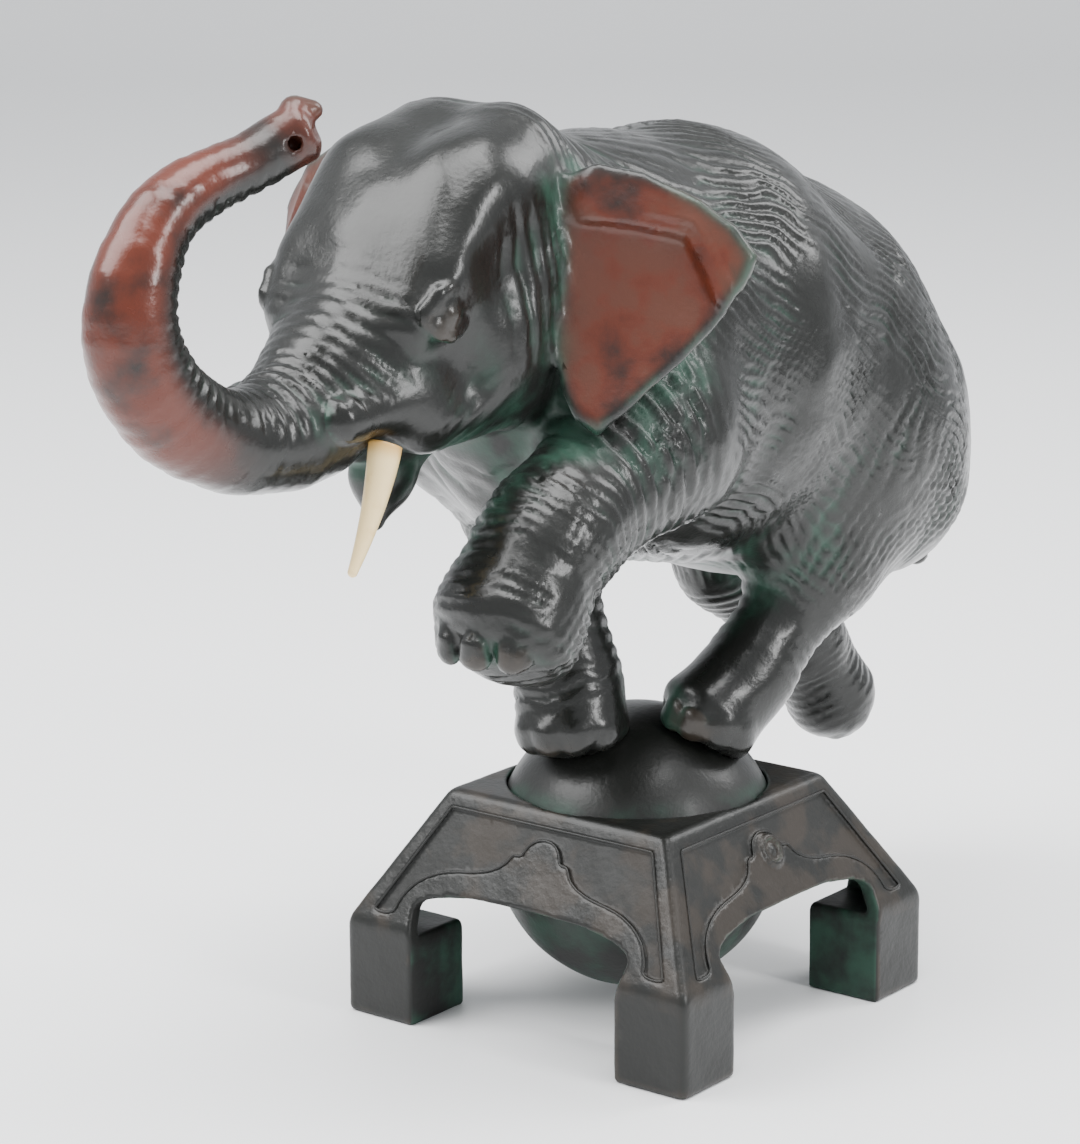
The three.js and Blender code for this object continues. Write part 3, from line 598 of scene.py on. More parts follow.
@dataclass(frozen=True)
class Trunk:
    """The raised trunk as sections of (middle, half width and half height)."""

    sections: tuple[tuple[Point, tuple[float, float]], ...] = (
        ((0, -122, 207), (22, 20)),
        ((0, -142, 195.5), (17.5, 16)),
        ((0, -158.6, 192), (14.2, 13)),
        ((0, -174, 195), (12.2, 12)),
        ((0, -187.3, 201.9), (11.9, 11.9)),
        ((0, -197.3, 211.7), (11.7, 11.7)),
        ((0, -202.2, 223.7), (11.1, 11.1)),
        ((0, -201, 235.8), (10.2, 10.2)),
        ((0, -195, 246.5), (9, 9)),
        ((1, -186.7, 254.2), (7.9, 7.9)),
        ((3, -177.3, 258.5), (6.9, 6.9)),
        ((6.5, -167.4, 261.8), (6.4, 6.4)),
        ((10.5, -159, 266.4), (6.6, 6.6)),
    )
    tip: Point = (13, -156, 269)
    loop_middle: Point = (0, -163, 230)

    def line(self, count: int) -> tuple[Array, Array]:
        """Return points on a smooth line through the middles, and the radii there.

        Args:
            count: Number of points.

        Returns:
            The points and their half widths and half heights.
        """
        knots = np.array([s[0] for s in self.sections], float)
        radii = np.array([s[1] for s in self.sections], float)
        at = np.linspace(0, len(knots) - 1.0001, count)
        base = at.astype(int)
        t = (at - base)[:, None]
        padded = np.vstack([2 * knots[0] - knots[1], knots, 2 * knots[-1] - knots[-2]])
        p0, p1, p2, p3 = (padded[base + i] for i in range(4))
        square = (2 * p0 - 5 * p1 + 4 * p2 - p3) * t**2
        cube = (3 * p1 - p0 - 3 * p2 + p3) * t**3
        line = 0.5 * (2 * p1 + (p2 - p0) * t + square + cube)
        return line, radii[base] + (radii[base + 1] - radii[base]) * t

    def limbs(self) -> list[Limb]:
        """Return the limbs that make the trunk and its flared end."""
        line, radii = self.line(25)
        run = [
            Limb(tuple(a), tuple(b), tuple(ra), tuple(rb), k=2.0)
            for a, b, ra, rb in zip(line[:-1], line[1:], radii[:-1], radii[1:])
        ]
        return [
            *run,
            Limb((10.5, -159, 266.4), (13.5, -155.5, 268.6), (6.6, 6.6), (7.4, 7.4, 4), k=2),
            Limb((11.5, -155, 274.5), (14.5, -152.5, 274), (4, 3), (2.5, 2.2), k=2),
            Limb((18.5, -155.4, 269.6), (17, -152, 270), (2, 2), (2, 2), k=1, cut=True),
            Limb((13.5, -159, 266), (16, -161, 267), (2, 2), (2, 2), k=1, cut=True),
        ]

    def follow(self, points: Array) -> tuple[Array, Array, Array]:
        """Place points along the trunk.

        Args:
            points: Places near the trunk.

        Returns:
            How far along each lies in millimetres, its distance from the middle line as a share
            of the radius, and how far it faces the inside of the curl, from -1 to 1.
        """
        line, radii = self.line(81)
        tangent = np.gradient(line, axis=0)
        tangent /= np.linalg.norm(tangent, axis=1, keepdims=True)
        steps = np.linalg.norm(np.diff(line, axis=0), axis=1)
        travel = np.concatenate([[0], np.cumsum(steps)])
        apart = np.linalg.norm(points[:, None, :] - line[None], axis=2)
        best = apart.argmin(1)
        out = points - line[best]
        along = travel[best] + (out * tangent[best]).sum(1)
        to_middle = (np.array(self.loop_middle, float) - line[best]) * (0, 1, 1)
        inward = (out * to_middle).sum(1) / np.linalg.norm(to_middle, axis=1)
        return along, apart.min(1) / radii[best, 0], inward / (apart.min(1) + TINY)


@dataclass(frozen=True)
class Folds:
    """Skin folds on a part of a leg.

    Attributes:
        a: Start of the part's middle line.
        b: End of it.
        reach: Radius of the part, beyond which the folds fade.
        spacing: Distance between folds.
        depth: How deep the grooves are.
        wander: How far the folds stray from plain rings.
        lengthwise: Whether the folds run along the part instead of round it.
    """

    a: Point
    b: Point
    reach: float
    spacing: float
    depth: float
    wander: float = 0.5
    lengthwise: bool = False

    def press(self, points: Array, warp: Array, small: Array) -> Array:
        """Return how deep these folds are at each point.

        Args:
            points: Places on the smooth surface.
            warp: Broad noise that bends the folds.
            small: Fine noise that frays them.

        Returns:
            The depths in millimetres.
        """
        a, b = np.array(self.a, float), np.array(self.b, float)
        length = np.linalg.norm(b - a)
        axis = (b - a) / length
        along = (points - a) @ axis
        out = points - a - along[:, None] * axis
        weight = smooth(np.linalg.norm(out, axis=1), self.reach * 1.35, self.reach)
        weight *= smooth(along, -8, 2) * smooth(along, length + 8, length - 2)
        line = along + self.wander * warp + small
        if self.lengthwise:
            side = np.cross(axis, (1.0, 0.0, 0.0))
            side /= np.linalg.norm(side)
            turn = np.arctan2(out @ side, np.abs(out[:, 0]) + 6.0)
            line = turn * self.reach + self.wander * warp + small
        return self.depth * weight * Skin.furrow(line / self.spacing)


@dataclass(frozen=True)
class Patch:
    """A patch of folded skin on the body.

    Attributes:
        limits: Its fading edges: the axis, where the folds begin and where they are full. Along
            axis 0 the distance from the middle plane counts.
        depth: How deep the grooves are.
        spacing: Distance between folds.
        wander: How far the folds stray from plain lines.
        fray: How much small breaks they have.
    """

    limits: tuple[tuple[int, float, float], ...]
    depth: float
    spacing: float
    wander: float = 1.0
    fray: float = 1.0

    def press(self, at: Sequence[Array], line: Array, warp: Array, small: Array) -> Array:
        """Return how deep these folds are at each point.

        Args:
            at: Distance from the middle plane, y and z of the points.
            line: Distance across the run of the folds.
            warp: Broad noise that bends the folds.
            small: Fine noise that frays them.

        Returns:
            The depths in millimetres.
        """
        weight = math.prod(smooth(at[axis], low, high) for axis, low, high in self.limits)
        line = line + self.wander * warp + self.fray * small
        return self.depth * weight * Skin.furrow(line / self.spacing)


@dataclass(frozen=True)
class Skin:
    """The folds of the hide and the masks of its patina.

    Attributes:
        ear: The animal's ears.
        trunk: Its trunk.
        flank: Folds that fan down the sides.
        rump: Folds that run down the hindquarters.
        neck: Folds across the neck.
        temple: Folds behind the eye.
        cheek: Faint folds of the cheek.
        legs: Folds of the legs.
        spine: Places along y, and the height there that the flank's folds turn round.
        flank_radius: Distance from that height to the skin.
        rump_centre: Place along y that the rump's folds turn round.
        rump_radius: Distance from there to the skin.
        bend: How far broad and narrower noise bend the folds.
        trunk_start: Where along y the trunk's rings may begin.
        trunk_spacing: Distance between the trunk's rings.
        trunk_depth: Depth of the rings outside the curl, and how much more inside it.
        ear_share: How much of the folds the ears lose.
        lumps: Heights of the broad and small lumps of the skin.
        lift: How far the folds' ridges stand above the smooth surface.
        full: Depth at which a groove counts in full for the patina.
    """

    ear: Ear
    trunk: Trunk
    flank: Patch = Patch(((1, -58, -30), (1, 112, 80), (2, 118, 140)), 0.9, 3.9, fray=1.2)
    rump: Patch = Patch(((1, 78, 108), (2, 100, 130)), 0.8, 4.0, 0.6)
    neck: Patch = Patch(((1, -86, -66), (1, -28, -46), (2, 150, 170)), 0.95, 5.4, 0.8)
    temple: Patch = Patch(
        ((1, -106, -92), (1, -64, -74), (0, 16, 26), (2, 186, 200), (2, 256, 240)), 0.8, 4.3, 0.6
    )
    cheek: Patch = Patch(
        ((1, -128, -112), (1, -84, -96), (0, 12, 20), (2, 214, 200)), 0.4, 3.6, 0.5, 0.0
    )
    legs: tuple[Folds, ...] = (
        Folds((41, -44, 180), (39, -90, 161), 25, 5.2, 1.1, 1.1),
        Folds((39, -88, 162), (38, -104, 144), 20, 3.8, 0.9),
        Folds((38, -102, 146), (38, -110, 134), 22, 3.6, 0.7),
        Folds((-21, -21, 142), (-8.5, -21, 96), 18, 4.0, 0.7),
        Folds((-34, -30, 180), (-21, -21, 142), 26, 5.0, 0.7, 0.8),
        Folds((32, 46, 126), (25, 20, 98), 17, 3.8, 0.7),
        Folds((36, 72, 160), (30, 42, 122), 30, 4.4, 0.8, 0.6, True),
        Folds((-30, 90, 114), (-24, 120, 80), 20, 3.8, 0.8),
        Folds((-24, 120, 80), (-22, 134, 59), 17, 3.6, 0.6),
        Folds((-34, 82, 156), (-30, 90, 114), 28, 4.4, 0.7, 0.6, True),
    )
    spine: tuple[tuple[float, ...], tuple[float, ...]] = (
        (-60, -26, 12, 56, 89, 130), (205, 196, 192, 176, 158, 140),
    )
    flank_radius: float = 52.0
    rump_centre: float = 40.0
    rump_radius: float = 62.0
    bend: tuple[float, float] = (7.0, 3.0)
    trunk_start: float = -112.0
    trunk_spacing: float = 4.4
    trunk_depth: tuple[float, float] = (0.2, 0.65)
    ear_share: float = 0.85
    lumps: tuple[float, float] = (0.5, 0.22)
    lift: float = 0.3
    full: float = 0.8

    @staticmethod
    def furrow(coordinate: Array) -> Array:
        """Return 1 in the grooves, at whole numbers, and 0 on the folds between them."""
        return 1.0 - np.abs(np.sin(np.pi * coordinate)) ** 0.8

    def body_folds(self, points: Array, warp: Array, small: Array) -> Array:
        """Return the depth of the folds of flank, rump, neck, temple and cheek.

        Args:
            points: Places on the smooth surface.
            warp: Broad noise that bends the folds.
            small: Fine noise that frays them.

        Returns:
            The depths in millimetres.
        """
        at = (np.abs(points[:, 0]), points[:, 1], points[:, 2])
        y, z = at[1], at[2]
        arc = np.arctan2(at[0], z - np.interp(y, *self.spine)) * self.flank_radius
        down = np.arctan2(points[:, 0], y - self.rump_centre) * self.rump_radius
        lines = (
            (self.flank, arc - 0.45 * (y + 30)),
            (self.rump, down),
            (self.neck, y + 0.25 * z),
            (self.temple, y + 0.12 * z),
            (self.cheek, 0.8 * z - 0.5 * y),
        )
        return sum(patch.press(at, line, warp, small) for patch, line in lines)

    def relief(self, points: Array, normal: Array) -> tuple[Array, Array]:
        """Work out the folds of the skin.

        Args:
            points: Places on the smooth surface.
            normal: Outward directions there.

        Returns:
            How far each point moves outward, and how deep in a groove it lies, from 0 to 1.
        """
        coarse, fine = Noise(11), Noise(23)
        warp = self.bend[0] * coarse.at(points, 30) + self.bend[1] * coarse.at(points + 50, 12)
        small = fine.at(points, 5)
        uneven = np.clip(0.75 + 0.85 * coarse.at(points + 90, 17) + 0.25 * small, 0.05, 1.2)
        on_ear, face = self.ear.masks(points, normal)
        depth = self.body_folds(points, warp, small)
        for folds in self.legs:
            depth += folds.press(points, warp, small)
        depth *= uneven
        near = points[:, 1] < self.trunk_start
        along, ratio, inward = self.trunk.follow(points[near])
        on = smooth(ratio, 1.5, 1.2) * smooth(points[near, 1], -118, -134)
        strength = self.trunk_depth[0] + self.trunk_depth[1] * smooth(inward, -0.1, 0.5)
        rings = along / self.trunk_spacing + 0.08 * warp[near] + 0.1 * small[near]
        depth[near] *= 1 - on
        depth[near] += on * strength * np.clip(uneven[near] + 0.2, 0.2, 1) * self.furrow(rings)
        depth *= 1 - self.ear_share * on_ear
        depth *= smooth(np.linalg.norm(points - self.trunk.tip, axis=1), 8, 14)
        lumps = self.lumps[0] * coarse.at(points + 20, 14) + self.lumps[1] * fine.at(points, 6)
        height = self.lift + lumps * (1 - 0.6 * face) - depth
        return height, np.clip(depth / self.full, 0, 1)

    def masks(self, solid: Field, points: Array, normal: Array, groove: Array) -> dict[str, Array]:
        """Work out where the patina is green, red-brown and worn.

        Args:
            solid: The animal's field.
            points: Places on the surface.
            normal: Outward directions there.
            groove: How deep in a groove each point lies.

        Returns:
            The masks by name, each from 0 to 1.
        """
        cover = np.zeros(len(points))
        for reach in (4.0, 10.0, 20.0):
            cover += np.clip(1.0 - solid.sample(points + normal * reach) / reach, 0, 1) / 3
        bare = np.clip(1.0 + solid.sample(points - normal * 4.0) / 4.0, 0, 1)
        hollow = np.clip(cover * 1.5 + groove * 0.35, 0, 1)
        _, ruddy = self.ear.masks(points, normal)
        near = points[:, 1] < -140
        along, _, inward = self.trunk.follow(points[near])
        front = smooth(inward, 0.25, -0.35) * smooth(along, 48, 78) * smooth(along, 168, 140)
        tip = smooth(np.linalg.norm(points[near] - self.trunk.tip, axis=1), 11, 6)
        ruddy[near] = np.maximum(front, 0.8 * tip)
        worn = np.clip(bare * 1.6 * (1 - hollow), 0, 1)
        return {"hollow": hollow, "worn": worn, "ruddy": ruddy}


@dataclass(frozen=True)
class Elephant:
    """The animal: one casting, with its ears, trunk and feet.

    Attributes:
        step: Distance between the grid points of its field.
        most: Greatest number of triangles.
        ear: Its ears.
        trunk: Its trunk.
        nail_spread: Angle between neighbouring toenails, in radians.
        nail_length: Length of a toenail's middle line.
        nail_root: Radii of a toenail at its lower end.
        nail_end: Radii of a toenail at its upper end.
        nail_melt: Length over which a toenail melts into the foot.
        settle: Furthest that a vertex moves in one pass onto the exact surface.
    """

    step: float = 1.0
    most: int = 190000
    ear: Ear = field(default_factory=Ear)
    trunk: Trunk = field(default_factory=Trunk)
    nail_spread: float = 0.62
    nail_length: float = 3.2
    nail_root: tuple[float, float] = (4.5, 2.7)
    nail_end: tuple[float, float] = (3.7, 2.0)
    nail_melt: float = 1.8
    settle: float = 0.5

    def torso(self) -> list[Limb]:
        """Return the body, haunches, shoulders, neck and breast."""
        return [
            Limb((0, -26, 196), (0, 12, 192), (44, 56), (54, 60), k=10),
            Limb((0, 12, 192), (0, 56, 176), (54, 60), (53, 56), k=10),
            Limb((0, 56, 176), (0, 89, 158), (53, 56), (46, 48), k=12),
            Limb((30, 76, 160), (29, 90, 138), (19, 29), (16, 22), k=16, mirror=True),
            Limb((36, -30, 205), (38, -42, 178), (16, 30), (17, 26), k=16, mirror=True),
            Limb((0, -34, 208), (0, -74, 222), (38, 46), (31, 34), k=16),
            Limb((0, -38, 178), (0, -56, 190), (28, 30), (24, 22), k=16),
        ]

    def head(self) -> list[Limb]:
        """Return the skull, brows, cheeks, jaw, tusk sheaths, eyes and lower lip."""
        return [
            Limb((0, -70, 234), (0, -88, 224), (33, 32), (32, 36), k=12),
            Limb((13, -76, 254), (15, -92, 246), (13, 13), (14, 14), k=10, mirror=True),
            Limb((15, -92, 246), (18, -105, 235), (14, 14), (12, 12), k=10, mirror=True),
            Limb((22, -114, 228), (21, -121, 219), (8, 8), (7, 7), k=8, mirror=True),
            Limb((0, -103, 220), (0, -126, 206), (25, 24), (20, 18), k=12),
            Limb((20, -92, 204), (18, -116, 196), (12, 18), (10, 12), k=12, mirror=True),
            Limb((0, -96, 190), (0, -124, 187), (14, 10), (9, 6), k=8),
            Limb((42, -96, 238), (40, -101, 231), (8, 9), (8, 9), k=10, mirror=True, cut=True),
            Limb((34, -118, 209), (32, -112, 204), (5, 6), (5, 6), k=10, mirror=True, cut=True),
            Limb((16, -118, 199), (17, -146, 197), (8, 8.5), (5.5, 6), k=6, mirror=True),
            Limb((28, -118, 221), (28, -118.5, 221), (3.4, 3.4), (3.4, 3.4), k=1.5, mirror=True),
            Limb((0, -108, 184), (0, -112, 174), (10, 10), (7.5, 7.5), k=5),
            Limb((0, -112, 174), (0, -114.5, 163), (7.5, 7.5), (2.2, 2.2), k=3),
        ]

    def eyelids(self) -> list[Limb]:
        """Return the rims above and below each eye and the folds round it."""
        lids = []
        for lift, deep in ((3.2, 1.3), (-2.9, 1.1), (6.6, 1.5), (-6.0, 1.2)):
            arc = [
                (28.6 - 0.036 * s * s, -118.0 + s, 221 + lift * (1 - (s / 8.5) ** 2))
                for s in (-7.5, -3.5, 0.0, 3.5, 7.5)
            ]
            lids += [
                Limb(a, b, (deep, deep), (deep, deep), k=1.5, mirror=True)
                for a, b in zip(arc[:-1], arc[1:])
            ]
        return lids

    def legs(self) -> list[Limb]:
        """Return the four legs and the tail."""
        return [
            Limb((41, -44, 180), (39, -90, 161), (17, 22), (16.5, 17), k=12),
            Limb((39, -90, 160), (38, -97, 154), (16.5, 16.5), (16, 16), k=8),
            Limb((38, -97, 154), (38, -104, 144), (15.5, 15.5), (17, 17), k=8),
            Limb((38, -104, 143), (38, -108, 139), (19, 19, 12), (19.5, 19.5, 12), k=6),
            Limb((-34, -30, 180), (-21, -21, 142), (18, 24), (15.5, 17), k=12),
            Limb((-21, -21, 142), (-8.5, -21, 100), (15.5, 16), (13.5, 13.5), k=8),
            Limb((-8.5, -21, 98), (-5, -24, 86), (13.5, 14), (16, 16, 9), k=8),
            Limb((36, 66, 156), (32, 46, 128), (19, 34), (15, 22), k=14),
            Limb((32, 46, 128), (25, 20, 98), (14, 16), (11, 11.5), k=8),
            Limb((25, 20, 98), (21, 6, 87), (11.5, 12), (14.5, 15, 9), k=8),
            Limb((-34, 82, 150), (-30, 90, 114), (17, 28), (15, 20), k=16),
            Limb((-30, 90, 112), (-24, 120, 80), (15, 18), (12, 12), k=8),
            Limb((-24, 120, 80), (-22, 134, 59), (12, 12), (14.5, 14.5), k=8),
            Limb((0, 128, 180), (8, 140, 150), (5, 4), (5, 4), k=8),
            Limb((8, 140, 150), (16, 124, 112), (4.4, 3.6), (3.4, 3.4), k=3),
        ]

    def toenails(self) -> list[Limb]:
        """Return the nails round the front of each foot."""
        feet = (
            ((38, -107, 138), (0.1, -1, 0), (0, -0.25, 1), 17.2, 5, 3),
            ((-5, -24, 86), (0.1, -1, 0), (-0.1, -0.4, 1), 13.8, 5, 2),
            ((21, 6, 87), (0.5, -0.8, 0), (0.4, 0, 1), 12.4, 4, 2),
            ((-22, 134, 57), (0, 0.3, -1), (0, -1, -0.2), 11.4, 4, 0),
        )
        nails = []
        for middle, forward, up, radius, count, drop in feet:
            f = np.array(forward, float) / np.linalg.norm(forward)
            u = np.array(up, float) / np.linalg.norm(up)
            side = np.cross(u, f) / np.linalg.norm(np.cross(u, f))
            for i in range(count):
                a = (i - (count - 1) / 2) * self.nail_spread
                spot = middle + radius * (f * math.cos(a) + side * math.sin(a)) - u * drop
                across = tuple(side * math.cos(a) - f * math.sin(a))
                line = (tuple(spot), tuple(spot + self.nail_length * u))
                radii = (self.nail_root, self.nail_end)
                nails.append(Limb(*line, *radii, k=self.nail_melt, side=across))
        return nails

    def body(self) -> Field:
        """Build the field of the whole animal."""
        solid = Field((-90, -226, 38), (90, 160, 284), self.step)
        parts = (self.torso, self.head, self.trunk.limbs, self.legs, self.toenails, self.eyelids)
        for part in parts:
            for limb in part():
                solid.add(limb)
        self.ear.carve(solid)
        return solid

    def build(self, place: Placement, ball: Ball, tusk: Tusk) -> bpy.types.Object:
        """Mesh the animal, press its folds in and clear the seats of the ball and tusk.

        Args:
            place: Where the middle of the stand is.
            ball: The ball that two feet stand on.
            tusk: The tusk let into the left sheath.

        Returns:
            The finished object.
        """
        solid = self.body()
        mesh = solid.surface()
        log.info("elephant: %d triangles before thinning", len(mesh.faces))
        for _ in range(2):
            shift = np.clip(solid.sample(mesh.points), -self.settle, self.settle)
            mesh.points = mesh.points - solid.normals(mesh.points) * shift[:, None]
        normal = solid.normals(mesh.points)
        skin = Skin(self.ear, self.trunk)
        height, groove = skin.relief(mesh.points, normal)
        mesh.values = skin.masks(solid, mesh.points, normal, groove)
        moved = mesh.points + normal * height[:, None]
        mesh.points = tusk.push_out(ball.push_out(moved))
        return object_from("elephant_casting", mesh, place, self.most)


@dataclass(frozen=True)
class Ball:
    """The ball that sits in the stand.

    Attributes:
        radius: Its radius.
        height: Height of its middle.
        fit: Air left round it.
        rows: Rows of faces from top to bottom.
        columns: Faces in a row.
        most: Greatest number of triangles.
    """

    radius: float = 41.5
    height: float = 47.0
    fit: float = 0.3
    rows: int = 96
    columns: int = 160
    most: int = 100000

    def push_out(self, points: Array) -> Array:
        """Move points that lie in the ball to just clear of it.

        Args:
            points: Places near the ball.

        Returns:
            The places, moved where they have to be.
        """
        middle = np.array((0.0, 0.0, self.height))
        out = points - middle
        distance = np.linalg.norm(out, axis=1, keepdims=True)
        return middle + out / distance * np.maximum(distance, self.radius + self.fit)

    def build(self, place: Placement) -> bpy.types.Object:
        """Make the ball, very slightly uneven as it was cast.

        Args:
            place: Where the middle of the stand is.

        Returns:
            The finished object.
        """
        rows, columns = self.rows, self.columns
        down = np.linspace(0, np.pi, rows + 1)[1:-1, None]
        turn = np.linspace(0, 2 * np.pi, columns, endpoint=False)[None]
        ring = (np.sin(down) * np.cos(turn), np.sin(down) * np.sin(turn), np.cos(down) + 0 * turn)
        unit = np.vstack([np.stack(ring, 2).reshape(-1, 3), (0, 0, 1), (0, 0, -1)])
        uneven = 0.12 * Noise(5).at(unit * self.radius, 9) - 0.08
        points = unit * (self.radius + uneven)[:, None] + (0, 0, self.height)
        top, bottom, last = len(unit) - 2, len(unit) - 1, (rows - 2) * columns
        faces = []
        for j in range(columns):
            k = (j + 1) % columns
            for i in range(rows - 2):
                a, b = i * columns + j, i * columns + k
                faces += [(a, a + columns, b), (b, a + columns, b + columns)]
            faces += [(top, j, k), (bottom, last + k, last + j)]
        seat = smooth(np.abs(points[:, 2] - 64), 9, 1)
        values = {
            "hollow": np.clip(0.6 * seat + 0.8 * smooth(points[:, 2], 60, 20), 0, 1),
            "worn": smooth(points[:, 2], 82, 88) * 0.3,
            "ruddy": np.zeros(len(points)),
        }
        mesh = Mesh(points, np.array(faces), values)
        return object_from("ball_casting", mesh, place, self.most)


@dataclass(frozen=True)
class Tusk:
    """The tusk let into the left sheath.

    Attributes:
        root: Middle of its thick end.
        tip: Middle of its point.
        root_radius: Radius at the root.
        tip_radius: Radius at the point.
        sag: How far it bows backward at half its length.
        fit: Air left round it in the sheath.
        around: Points round it.
        along: Rings from root to point.
        cap: Rings of the rounded point, with its ends.
        most: Greatest number of triangles.
    """

    root: Point = (19.5, -133, 189)
    tip: Point = (20.5, -147.5, 159)
    root_radius: float = 4.4
    tip_radius: float = 1.3
    sag: float = 1.6
    fit: float = 0.3
    around: int = 48
    along: int = 44
    cap: int = 9
    most: int = 100000

    def middle(self, t: Array) -> tuple[Array, Array]:
        """Return the middle line and the radius at shares t of the length.

        Args:
            t: Shares of the length, 0 at the root.

        Returns:
            Points on the line and the radii there.
        """
        root, tip = np.array(self.root, float), np.array(self.tip, float)
        line = root + (tip - root) * t[:, None]
        held = np.clip(t, 0, 1)
        line[:, 1] += self.sag * 4 * held * (1 - held)
        return line, self.root_radius + (self.tip_radius - self.root_radius) * held**1.15

    def push_out(self, points: Array) -> Array:
        """Move points that lie in the tusk sideways to just clear of it.

        Args:
            points: Places near the tusk.

        Returns:
            The places, moved where they have to be.
        """
        root, tip = np.array(self.root, float), np.array(self.tip, float)
        axis = tip - root
        t = (points - root) @ axis / (axis @ axis)
        line, radius = self.middle(t)
        out = points - line
        distance = np.linalg.norm(out, axis=1)
        inside = (distance < radius + self.fit) & (t > -0.02) & (t < 1.02)
        wanted = np.where(inside, (radius + self.fit) / np.maximum(distance, 1e-6), 1.0)
        return line + out * wanted[:, None]

    def build(self, place: Placement) -> bpy.types.Object:
        """Make the tusk with a rounded point.

        Args:
            place: Where the middle of the stand is.

        Returns:
            The finished object.
        """
        around = self.around
        line, radius = self.middle(np.linspace(0, 1, self.along))
        axis = np.array(self.tip, float) - self.root
        axis /= np.linalg.norm(axis)
        angle = np.linspace(0, np.pi / 2, self.cap)[1:-1]
        line = np.vstack([line, line[-1] + np.outer(np.sin(angle) * self.tip_radius, axis)])
        radius = np.concatenate([radius, self.tip_radius * np.cos(angle)])
        across = np.array((1.0, 0, 0)) - axis * axis[0]
        across /= np.linalg.norm(across)
        turn = np.linspace(0, 2 * np.pi, around, endpoint=False)
        spoke = np.outer(np.cos(turn), across) + np.outer(np.sin(turn), np.cross(axis, across))
        rings = (line[:, None] + spoke[None] * radius[:, None, None]).reshape(-1, 3)
        points = np.vstack([rings, line[0], line[-1] + axis * 0.03])
        last = (len(line) - 1) * around
        faces = []
        for j in range(around):
            k = (j + 1) % around
            for i in range(len(line) - 1):
                a, b = i * around + j, i * around + k
                faces += [(a, b, a + around), (b, b + around, a + around)]
            faces += [(len(points) - 2, k, j), (len(points) - 1, last + j, last + k)]
        share = np.concatenate([np.repeat(np.linspace(0, 1, len(line)), around), [0, 1]])
        mesh = Mesh(points, np.array(faces), {"share": share})
        return object_from("tusk_inlay", mesh, place, self.most)


def bezier(points: Sequence[tuple[float, float]], count: int) -> list[tuple[float, float]]:
    """Return points along a cubic curve, without its first one.

    Args:
        points: The curve's two ends and the two handles between them.
        count: Number of points.

    Returns:
        The points.
    """
    made = []
    for t in np.linspace(0, 1, count + 1)[1:]:
        weights = ((1 - t) ** 3, 3 * t * (1 - t) ** 2, 3 * t * t * (1 - t), t**3)
        made.append(tuple(float(v) for v in np.dot(weights, np.array(points, float))))
    return made


class Table:
    """Distances to a closed outline, looked up between the points of a fine grid."""

    STEP = 0.4

    def __init__(self, outline: Sequence[tuple[float, float]]) -> None:
        """Measure the outline once on the grid.

        Args:
            outline: The outline's corners.
        """
        corners = np.array(outline)
        self.low = corners.min(0) - 8.0
        size = np.ceil((corners.max(0) + 8.0 - self.low) / self.STEP).astype(int) + 1
        axes = [self.low[i] + self.STEP * np.arange(size[i]) for i in range(2)]
        self.values = outline_distance(*np.meshgrid(*axes, indexing="ij"), outline)

    def at(self, u: Array, v: Array) -> Array:
        """Look the distance up.

        Args:
            u: First coordinates.
            v: Second coordinates.

        Returns:
            The distances, negative inside.
        """
        n = np.array(self.values.shape) - LAST_CELL
        s, t = (np.clip((w - self.low[i]) / self.STEP, 0, n[i]) for i, w in enumerate((u, v)))
        i, j = s.astype(int), t.astype(int)
        s, t = s - i, t - j
        a = self.values[i, j] * (1 - t) + self.values[i, j + 1] * t
        b = self.values[i + 1, j] * (1 - t) + self.values[i + 1, j + 1] * t
        return a * (1 - s) + b * s


